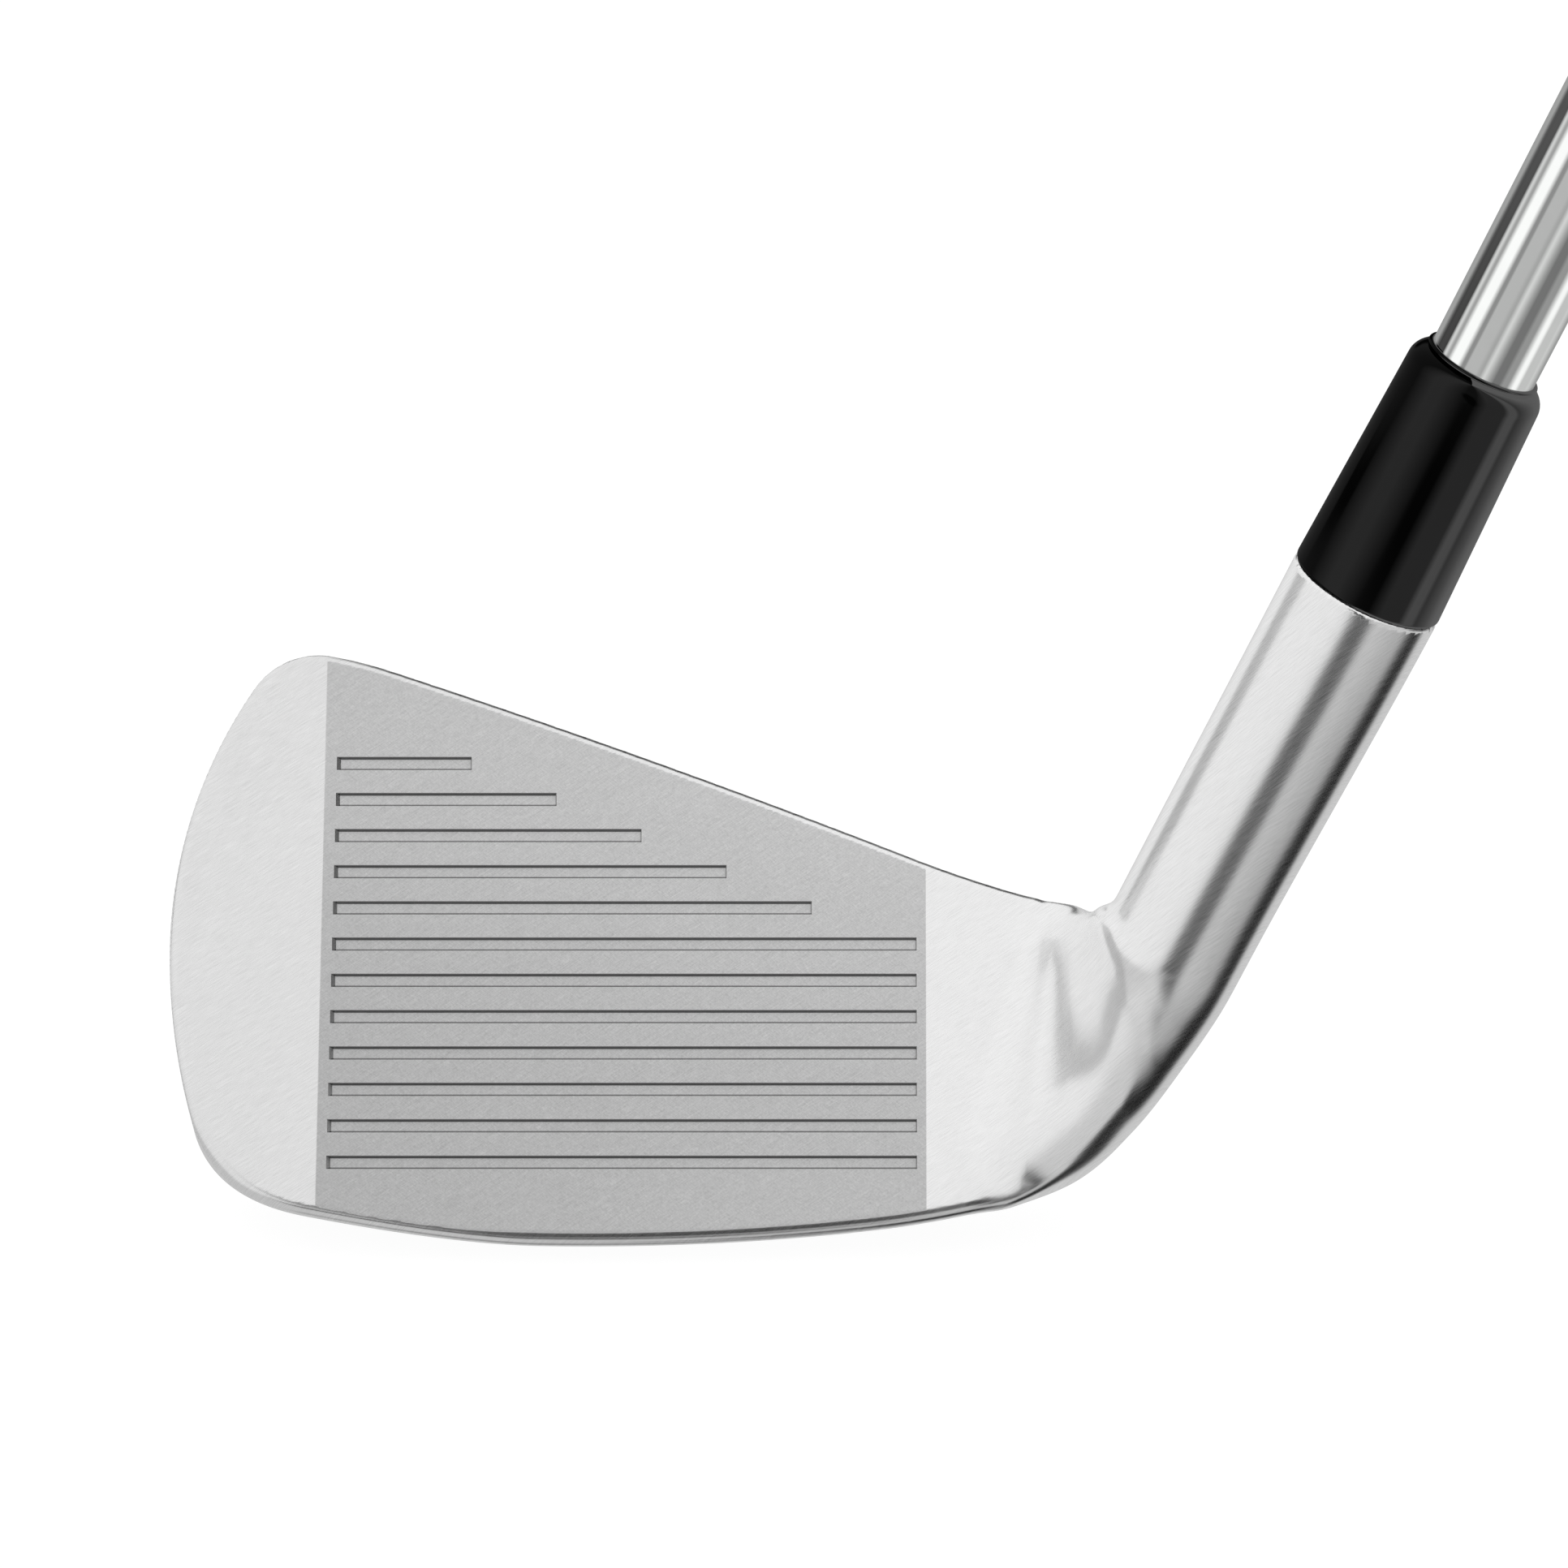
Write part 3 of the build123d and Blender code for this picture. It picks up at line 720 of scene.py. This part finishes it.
def shaft_mesh():
    """The stepped tube: each step is a short cone with softened ends."""
    outside = []
    for distance in np.linspace(0, TIP_TAPER_LENGTH, 9):
        outside.append((shaft_radius(distance), SHAFT_TIP + distance))
    radius = shaft_radius(TIP_TAPER_LENGTH)
    growth = (BUTT_DIAMETER / 2 - radius) / STEP_COUNT
    for step in range(STEP_COUNT):
        height = SHAFT_TIP + FIRST_STEP + step * STEP_PITCH
        for t in np.linspace(0, 1, 7):
            outside.append((radius + growth * t * t * (3 - 2 * t), height + STEP_RAMP * t))
        radius += growth
    outside.append((radius, SHAFT_BUTT))
    inside = [(r - WALL, h) for r, h in reversed(outside)]
    return turned("shaft_tube", outside + inside, 96)


def ferrule_mesh():
    """The collar: a straight taper, a rounded shoulder, and a small ring lip round the shaft."""
    top = FERRULE_TOP - LIP_HEIGHT
    shoulder_foot = top - FERRULE_SHOULDER
    bore_low = shaft_radius(HOSEL_TOP - SHAFT_TIP) + FIT
    bore_top = shaft_radius(FERRULE_TOP - SHAFT_TIP) + FIT
    profile = [(bore_low, HOSEL_TOP + FIT), (HOSEL_RADIUS - 0.25, HOSEL_TOP + FIT)]
    profile += arc((HOSEL_RADIUS - 0.25, HOSEL_TOP + 0.3), 0.25, -80, 0, 5)
    profile += arc((FERRULE_TOP_RADIUS - FERRULE_ROUND, shoulder_foot), FERRULE_ROUND, 0, 78, 12)
    profile += arc((LIP_RADIUS - 0.2, FERRULE_TOP - 0.2), 0.2, 0, 90, 5)
    profile += [(bore_top, FERRULE_TOP)]
    return turned("ferrule_collar", profile, 128)


def band_mesh():
    """The plain film band on the shaft, with a softened edge."""
    inner = BUTT_DIAMETER / 2 + FIT
    outer = inner + BAND_THICKNESS
    top = GRIP_MOUTH - BAND_GAP
    low = top - BAND_LENGTH
    edge = BAND_THICKNESS / 2
    profile = [(inner, low), (outer - edge / 2, low), (outer, low + edge), (outer, top - edge)]
    profile += [(outer - edge / 2, top), (inner, top)]
    return turned("band_film", profile, 96)


def grip_radius(along):
    """Smooth outside radius of the grip at a distance from its mouth."""
    knots = [GRIP_LENGTH * share for share in GRIP_SHARES] + [GRIP_LENGTH - CAP_BAND]
    return curve(along, knots, GRIP_RADII + [CAP_RADIUS])


def grip_pattern(along, turns):
    """Depth of the moulded tread: crossing helical grooves in three fields, with rings between."""
    field = np.zeros_like(along)
    for low, high in GRIP_FIELDS:
        field = np.maximum(field, ease(along, low, low + 1.5) * (1 - ease(along, high - 1.5, high)))
    depth = np.zeros_like(along)
    for way in (1, -1):
        phase = np.sin((GRIP_STARTS * turns + way * along * 2 * math.pi / GRIP_HELIX) / 2)
        depth = np.maximum(depth, ease(-np.abs(phase), -0.34, -0.16))
    depth = depth * field
    for ring in GRIP_RINGS:
        depth = np.maximum(depth, 1.3 * ease(-np.abs(along - ring), -0.9, -0.35))
    return depth * GRIP_GROOVE


def grip_mesh():
    """The rubber sleeve: a moulded tread outside, a bore for the shaft, and a rounded mouth."""
    cap_mouth = GRIP_LENGTH - CAP_BAND
    steps = int(cap_mouth / GRIP_CELL)
    turns = np.linspace(0, 2 * math.pi, GRIP_SIDES, endpoint=False)
    along = np.linspace(GRIP_ROUND, cap_mouth - 0.3, steps)
    grid_along, grid_turns = np.meshgrid(along, turns, indexing="ij")
    tread = grip_radius(grid_along) - grip_pattern(grid_along, grid_turns)
    core = BUTT_DIAMETER / 2 + TAPE_THICKNESS + 2 * FIT
    mouth = arc((GRIP_RADII[0] - GRIP_ROUND, GRIP_ROUND), GRIP_ROUND, -90, -10, 6)
    first = [(core, 0.0)] + mouth
    last = [(grip_radius(cap_mouth) - 0.35, cap_mouth - 0.05), (core, cap_mouth - 0.05)]
    radii = [np.full(GRIP_SIDES, radius) for radius, _ in first] + list(tread)
    radii += [np.full(GRIP_SIDES, radius) for radius, _ in last]
    heights = [height for _, height in first] + list(along) + [height for _, height in last]
    lifted = (np.array(heights, float) + GRIP_MOUTH)[:, None, None] * AXIS
    points = np.array(radii, float)[:, :, None] * around_axis(turns) + lifted
    return grid_mesh("grip_sleeve", points, 50)


def cap_mesh():
    """The end cap: a rounded rim, two moulded rings and a dished middle round the vent."""
    rim = CAP_RADIUS
    low = CLUB_LENGTH - CAP_BAND + 0.05
    end = CLUB_LENGTH
    inside = end - CAP_THICKNESS
    profile = [(VENT_RADIUS, inside), (rim - CAP_WALL, inside), (rim - CAP_WALL, low)]
    profile += arc((rim - 0.3, low + 0.3), 0.3, -80, 0, 4)
    profile += arc((rim - 0.15, end - 4.4), 0.35, -60, 60, 5)
    profile += arc((rim - CAP_ROUND, end - CAP_ROUND), CAP_ROUND, 0, 90, 8)
    for ring in CAP_RINGS:
        profile += [(ring + 0.55, end), (ring + 0.3, end - 0.4)]
        profile += [(ring - 0.3, end - 0.4), (ring - 0.55, end)]
    profile += [(CAP_DISH, end), (CAP_DISH - 0.6, end - 0.35)]
    profile += [(VENT_RADIUS + 0.5, end - 0.5), (VENT_RADIUS, end - 0.8)]
    return turned("cap_moulding", profile, 96)


# ---- shader helpers -----------------------------------------------------------------------
def add(tree, kind, inputs=None, **settings):
    """A shader node with its inputs set to values or joined to sockets."""
    made = tree.nodes.new(kind)
    for key, value in settings.items():
        setattr(made, key, value)
    for key, value in (inputs or {}).items():
        if isinstance(value, bpy.types.NodeSocket):
            tree.links.new(value, made.inputs[key])
        else:
            made.inputs[key].default_value = value
    return made


def calc(tree, operation, *values):
    """The result of one step of arithmetic."""
    return add(tree, "ShaderNodeMath", dict(enumerate(values)), operation=operation).outputs[0]


def total(tree, first, *others):
    """The sum of any number of values."""
    for other in others:
        first = calc(tree, "ADD", first, other)
    return first


def product(tree, first, *others):
    """The product of any number of values."""
    for other in others:
        first = calc(tree, "MULTIPLY", first, other)
    return first


def dot(tree, vector, constant):
    """A vector's length along a fixed one."""
    made = add(tree, "ShaderNodeVectorMath", {0: vector, 1: tuple(constant)}, operation="DOT_PRODUCT")
    return made.outputs["Value"]


def between(tree, value, low, high, start=0.0, end=1.0):
    """start below low, end above high, smooth between."""
    inputs = {"Value": value, "From Min": low, "From Max": high, "To Min": start, "To Max": end}
    return add(tree, "ShaderNodeMapRange", inputs, interpolation_type="SMOOTHSTEP").outputs["Result"]


def blend_values(tree, share, a, b):
    """a where share is 0, b where it is 1."""
    return add(tree, "ShaderNodeMapRange", {"Value": share, "To Min": a, "To Max": b}).outputs["Result"]


def grey(tree, value):
    """A colour from a level."""
    return add(tree, "ShaderNodeCombineColor", {"Red": value, "Green": value, "Blue": value}).outputs["Color"]


def tinted(tree, color, level):
    """A fixed colour times a level."""
    factors = {0: color, 1: grey(tree, level)}
    return add(tree, "ShaderNodeVectorMath", factors, operation="MULTIPLY").outputs[0]


def direction(azimuth, elevation):
    """Unit vector; azimuth 0 looks out from the face, and positive azimuths turn heelwards."""
    a = math.radians(azimuth)
    e = math.radians(elevation)
    return np.array([math.sin(a) * math.cos(e), -math.cos(a) * math.cos(e), math.sin(e)])


def strip(tree, looking, start, end, half, soft):
    """1 inside a strip of the sky between two directions, given in degrees, and 0 outside it."""
    a = direction(*start)
    b = direction(*end)
    square = np.cross(a, b) / np.linalg.norm(np.cross(a, b))
    middle = (a + b) / np.linalg.norm(a + b)
    along = np.cross(square, middle)
    reach = math.acos(float(a @ b)) / 2
    off = calc(tree, "ARCSINE", dot(tree, looking, square))
    turned_by = calc(tree, "ARCTAN2", dot(tree, looking, along), dot(tree, looking, middle))
    over = calc(tree, "MAXIMUM", calc(tree, "SUBTRACT", calc(tree, "ABSOLUTE", turned_by), reach), 0.0)
    squares = total(tree, calc(tree, "POWER", off, 2.0), calc(tree, "POWER", over, 2.0))
    distance = calc(tree, "SQRT", squares)
    return between(tree, distance, math.radians(half - soft), math.radians(half + soft), 1.0, 0.0)


# ---- studio -------------------------------------------------------------------------------
def studio():
    """A white tent for the metal to reflect, and plain white for the camera."""
    world = bpy.data.worlds.new("studio")
    bpy.context.scene.world = world
    world.use_nodes = True
    tree = world.node_tree
    background = tree.nodes["Background"]
    looking = add(tree, "ShaderNodeTexCoord").outputs["Generated"]
    heelward = dot(tree, looking, (1, 0, 0))
    upward = dot(tree, looking, (0, 0, 1))
    downward = dot(tree, looking, (0, 0, -1))
    level = between(tree, heelward, -0.35, 0.35, TENT_TOE, TENT_HEEL)
    level = blend_values(tree, between(tree, upward, 0.1, 0.6), level, TENT_TOP)
    level = blend_values(tree, between(tree, downward, 0.05, 0.4), level, TENT_LOW)
    level = blend_values(tree, between(tree, downward, 0.95, 0.98), level, TENT_BOTTOM)
    for start, end, half, soft, tone in STRIPS:
        level = blend_values(tree, strip(tree, looking, start, end, half, soft), level, tone)
    camera_ray = add(tree, "ShaderNodeLightPath").outputs["Is Camera Ray"]
    level = blend_values(tree, camera_ray, level, 1.0)
    tree.links.new(grey(tree, level), background.inputs["Color"])


def floor():
    """A pale floor that glows for the camera, so that it stays as white as the backdrop."""
    mesh = bpy.data.meshes.new("floor")
    bm = bmesh.new()
    bmesh.ops.create_circle(bm, cap_ends=True, radius=FLOOR_RADIUS, segments=64)
    bm.to_mesh(mesh)
    bm.free()
    obj = bpy.data.objects.new("floor", mesh)
    bpy.context.collection.objects.link(obj)
    obj.location.z = -FLOOR_GAP * MM
    obj.visible_glossy = False
    obj.visible_diffuse = False
    material = bpy.data.materials.new("floor")
    material.use_nodes = True
    tree = material.node_tree
    shader = tree.nodes["Principled BSDF"]
    shader.inputs["Base Color"].default_value = (0.16, 0.16, 0.16, 1)
    shader.inputs["Roughness"].default_value = 1.0
    shader.inputs["Specular IOR Level"].default_value = 0.0
    shader.inputs["Emission Color"].default_value = (1, 1, 1, 1)
    shader.inputs["Emission Strength"].default_value = 0.92
    mesh.materials.append(material)


# ---- materials ----------------------------------------------------------------------------
def new_material(name):
    """An empty material, its nodes and its main shader."""
    material = bpy.data.materials.new(name)
    material.use_nodes = True
    return material, material.node_tree, material.node_tree.nodes["Principled BSDF"]


def brush_lines(tree, angle, length, width, seed):
    """Noise drawn out along a direction in the face, sizes in millimetres."""
    place = add(tree, "ShaderNodeTexCoord").outputs["Object"]
    a = math.radians(angle)
    side = np.array([1.0, 0.0, 0.0])
    run = side * math.cos(a) + FACE_UP * math.sin(a)
    cross = FACE_UP * math.cos(a) - side * math.sin(a)
    parts = {
        "X": calc(tree, "DIVIDE", dot(tree, place, run), length * MM),
        "Y": calc(tree, "DIVIDE", dot(tree, place, cross), width * MM),
        "Z": float(seed),
    }
    spot = add(tree, "ShaderNodeCombineXYZ", parts).outputs["Vector"]
    return add(tree, "ShaderNodeTexNoise", {"Vector": spot, "Scale": 1.0, "Detail": 2.0}).outputs["Fac"]


def grain(tree, size, detail=2.0):
    """Even noise with grains of a size in millimetres."""
    place = add(tree, "ShaderNodeTexCoord").outputs["Object"]
    inputs = {"Vector": place, "Scale": 1 / (size * MM), "Detail": detail}
    return add(tree, "ShaderNodeTexNoise", inputs).outputs["Fac"]


def bump(tree, height, depth):
    """A normal bent by a relief with a depth in millimetres."""
    inputs = {"Height": height, "Distance": depth * MM, "Strength": 1.0}
    return add(tree, "ShaderNodeBump", inputs).outputs["Normal"]


def panel_share(tree, u, v, facing):
    """1 on the blasted panel of the face, 0 off it."""
    toe_edge = calc(tree, "MULTIPLY_ADD", v, PANEL_TOE_SLANT, PANEL_TOE_U)
    past_toe = calc(tree, "SUBTRACT", u, toe_edge)
    inside_toe = between(tree, past_toe, -PANEL_EDGE, PANEL_EDGE)
    inside_heel = between(tree, u, PANEL_HEEL_U - PANEL_EDGE, PANEL_HEEL_U + PANEL_EDGE, 1.0, 0.0)
    return product(tree, inside_toe, inside_heel, facing)


def head_material():
    """Brushed satin chrome, with a blasted panel on the flat of the face and a matt flat back. Its colour
    carries painted light, lighter toward the heel and up the panel, and painted shade on the score lines'
    walls.
    """
    material, tree, shader = new_material("satin_chrome_face")
    place = add(tree, "ShaderNodeTexCoord").outputs["Object"]
    from_origin = calc(tree, "DIVIDE", dot(tree, place, (1, 0, 0)), MM)
    u = calc(tree, "SUBTRACT", from_origin, float(GROUND[0]))
    v = calc(tree, "DIVIDE", dot(tree, place, FACE_UP), MM)
    normal = add(tree, "ShaderNodeNewGeometry").outputs["Normal"]
    facing = between(tree, dot(tree, normal, FACE_NORMAL), 0.985, 0.999)
    matt_back = between(tree, dot(tree, normal, -FACE_NORMAL), 0.90, 0.98)
    panel = panel_share(tree, u, v, facing)
    recessed = add(tree, "ShaderNodeAttribute", attribute_name="recessed").outputs["Fac"]
    walls = product(tree, recessed, calc(tree, "SUBTRACT", 1.0, facing))
    long_lines = brush_lines(tree, 32, 2.2, 0.07, 1)
    short_lines = brush_lines(tree, 41, 0.9, 0.05, 2)
    lines = total(tree, product(tree, long_lines, 0.6), product(tree, short_lines, 0.4))
    # Painted light: the colour grows lighter from toe to heel.
    painted_light_across_face = between(tree, u, -70.0, 0.0, 0.55, 0.66)
    satin = total(tree, painted_light_across_face, product(tree, lines, 0.56), product(tree, grain(tree, 9.0), 0.04))
    specks = total(tree, grain(tree, 0.16), brush_lines(tree, -38, 0.8, 0.07, 4))
    # Painted light: the blasted panel grows lighter up the face.
    painted_light_up_face = between(tree, v, 5.0, 50.0, 0.45, 0.56)
    blasted = product(tree, satin, total(tree, painted_light_up_face, product(tree, specks, 0.26)))
    # Painted shade: the score lines' walls are painted dark (0.30).
    shade = blend_values(tree, walls, blend_values(tree, panel, satin, blasted), 0.30)
    tree.links.new(grey(tree, shade), shader.inputs["Base Color"])
    satin_rough = calc(tree, "MULTIPLY_ADD", lines, 0.12, 0.16)
    rough = blend_values(tree, matt_back, satin_rough, 0.55)
    tree.links.new(blend_values(tree, panel, rough, 0.48), shader.inputs["Roughness"])
    shader.inputs["Metallic"].default_value = 1.0
    relief = blend_values(tree, panel, lines, total(tree, lines, grain(tree, 0.15)))
    tree.links.new(bump(tree, relief, 0.004), shader.inputs["Normal"])
    return material


def painted_band_reflections(tree, bands):
    """Painted reflection: bands that run along the shaft, their level at the angle that a point mirrors."""
    geometry = add(tree, "ShaderNodeNewGeometry")
    away = {0: geometry.outputs["Incoming"], "Scale": -1.0}
    sight = add(tree, "ShaderNodeVectorMath", away, operation="SCALE").outputs[0]
    mirror = {0: sight, 1: geometry.outputs["Normal"]}
    looking = add(tree, "ShaderNodeVectorMath", mirror, operation="REFLECT").outputs[0]
    side = np.cross(AXIS, RING_FRONT)
    angle = calc(tree, "ARCTAN2", dot(tree, looking, side), dot(tree, looking, RING_FRONT))
    share = calc(tree, "MULTIPLY_ADD", angle, 0.5 / math.pi, 0.5)
    ramp = tree.nodes.new("ShaderNodeValToRGB")
    tree.links.new(share, ramp.inputs["Fac"])
    elements = ramp.color_ramp.elements
    elements.remove(elements[-1])
    stops = [(degrees, level) for start, end, level in bands for degrees in (start, end)]
    for number, (degrees, level) in enumerate(stops):
        at = degrees / 360 + 0.5
        element = elements[0] if number == 0 else elements.new(at)
        element.position = at
        element.color = (level, level, level, 1)
    return ramp.outputs["Color"]


def polished_with_painted_bands(name, bands, tint, share, base, metallic, roughness):
    """A polished material that glows with its own painted reflection bands, mixed with the studio's real
    reflection.
    """
    material, tree, shader = new_material(name)
    shader.inputs["Base Color"].default_value = (*base, 1)
    shader.inputs["Metallic"].default_value = metallic
    wear = grain(tree, 1.5, 4.0)
    tree.links.new(calc(tree, "MULTIPLY_ADD", wear, roughness, roughness * 0.5), shader.inputs["Roughness"])
    tree.links.new(bump(tree, brush_lines(tree, LIE_DEGREES, 8.0, 0.15, 3), 0.0006), shader.inputs["Normal"])
    painted_bands = painted_band_reflections(tree, bands)
    toned = add(tree, "ShaderNodeVectorMath", {0: painted_bands, 1: tint}, operation="MULTIPLY").outputs[0]
    # The painted reflection's glow strength varies a little with the same wear noise; the glow takes share of
    # the surface, the real reflection the rest.
    level = calc(tree, "MULTIPLY_ADD", wear, 0.06, 0.97)
    painted_glow = add(tree, "ShaderNodeEmission", {"Color": toned, "Strength": level}).outputs[0]
    mixed = add(tree, "ShaderNodeMixShader", {0: share, 1: shader.outputs[0], 2: painted_glow}).outputs[0]
    tree.links.new(mixed, tree.nodes["Material Output"].inputs["Surface"])
    return material


def rubber(name, color, roughness):
    """Matt moulded rubber with a fine grain and dusty patches."""
    material, tree, shader = new_material(name)
    fine = grain(tree, 0.35)
    patches = grain(tree, 14.0)
    level = calc(tree, "MULTIPLY_ADD", fine, 0.5, calc(tree, "MULTIPLY_ADD", patches, 0.5, 0.5))
    tree.links.new(tinted(tree, color, level), shader.inputs["Base Color"])
    tree.links.new(calc(tree, "MULTIPLY_ADD", patches, 0.15, roughness), shader.inputs["Roughness"])
    tree.links.new(bump(tree, fine, 0.03), shader.inputs["Normal"])
    return material


def film():
    """Satin black film with a faint vertical streak."""
    material, tree, shader = new_material("band_film")
    streaks = brush_lines(tree, LIE_DEGREES, 12.0, 0.3, 5)
    level = calc(tree, "MULTIPLY_ADD", streaks, 0.012, 0.008)
    tree.links.new(grey(tree, level), shader.inputs["Base Color"])
    tree.links.new(calc(tree, "MULTIPLY_ADD", streaks, 0.15, 0.28), shader.inputs["Roughness"])
    return material


def epoxy():
    """Cloudy cured epoxy."""
    material, tree, shader = new_material("cured_epoxy")
    level = calc(tree, "MULTIPLY_ADD", grain(tree, 2.0), 0.3, 0.7)
    tree.links.new(tinted(tree, (0.55, 0.5, 0.4), level), shader.inputs["Base Color"])
    shader.inputs["Roughness"].default_value = 0.35
    return material


def brass():
    """Turned brass, with fine rings round the shaft axis."""
    material, tree, shader = new_material("turned_brass")
    place = add(tree, "ShaderNodeTexCoord").outputs["Object"]
    rings = calc(tree, "SINE", calc(tree, "DIVIDE", dot(tree, place, AXIS), 0.05 * MM))
    shader.inputs["Base Color"].default_value = (0.75, 0.6, 0.3, 1)
    shader.inputs["Metallic"].default_value = 1.0
    tree.links.new(calc(tree, "MULTIPLY_ADD", grain(tree, 0.8), 0.2, 0.2), shader.inputs["Roughness"])
    tree.links.new(bump(tree, rings, 0.004), shader.inputs["Normal"])
    return material


def crepe_tape():
    """Creped paper tape."""
    material, tree, shader = new_material("crepe_tape")
    creases = brush_lines(tree, LIE_DEGREES - 90, 4.0, 0.35, 7)
    level = calc(tree, "MULTIPLY_ADD", creases, 0.25, 0.8)
    tree.links.new(tinted(tree, (0.8, 0.72, 0.55), level), shader.inputs["Base Color"])
    shader.inputs["Roughness"].default_value = 0.85
    tree.links.new(bump(tree, creases, 0.05), shader.inputs["Normal"])
    return material


def camera():
    """A long lens, looking down on the face."""
    data = bpy.data.cameras.new("camera")
    data.sensor_width = 36.0
    data.lens = data.sensor_width * CAMERA_DISTANCE / VIEW_WIDTH
    data.clip_start = CLIP_NEAR
    data.clip_end = CLIP_FAR
    eye = bpy.data.objects.new("camera", data)
    bpy.context.collection.objects.link(eye)
    toward = Vector((0, -math.cos(CAMERA_ELEVATION), math.sin(CAMERA_ELEVATION)))
    up = Vector((0, math.sin(CAMERA_ELEVATION), math.cos(CAMERA_ELEVATION)))
    centre = Vector(GROUND) + Vector((1, 0, 0)) * VIEW_CENTRE[0] + up * VIEW_CENTRE[1]
    eye.location = (centre + toward * CAMERA_DISTANCE) * MM
    eye.rotation_euler = (math.pi / 2 - CAMERA_ELEVATION, 0, 0)
    bpy.context.scene.camera = eye


# ---- build --------------------------------------------------------------------------------
# The shaft's chrome and the ferrule's gloss black glow with painted reflection bands.
chrome = polished_with_painted_bands("polished_chrome", SHAFT_BANDS, (0.985, 1.0, 0.985), 0.88, (0.9, 0.9, 0.9), 1.0, 0.05)
gloss_black = polished_with_painted_bands("gloss_black", FERRULE_BANDS, (1.0, 1.0, 1.0), 0.9, (0.004, 0.004, 0.004), 0.0, 0.1)
grip_rubber = rubber("grip_rubber", (0.026, 0.026, 0.028), 0.62)
cap_rubber = rubber("cap_rubber", (0.021, 0.021, 0.022), 0.5)

new_piece("head_forging", head_mesh(), "head", head_material())
new_piece("ferrule_collar", ferrule_mesh(), "ferrule", gloss_black)
new_piece("shaft_tube", shaft_mesh(), "shaft", chrome)
new_piece("band_film", band_mesh(), "shaft_band", film())
new_piece("grip_sleeve", grip_mesh(), "grip", grip_rubber)
new_piece("cap_moulding", cap_mesh(), "grip_cap", cap_rubber)

for node, material in (("hosel_bond", epoxy()), ("tip_weight", brass()), ("grip_tape", crepe_tape())):
    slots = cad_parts[node].data.materials
    for number in range(len(slots)):
        slots[number] = material

studio()
floor()
camera()
bpy.context.scene.view_settings.view_transform = "Standard"
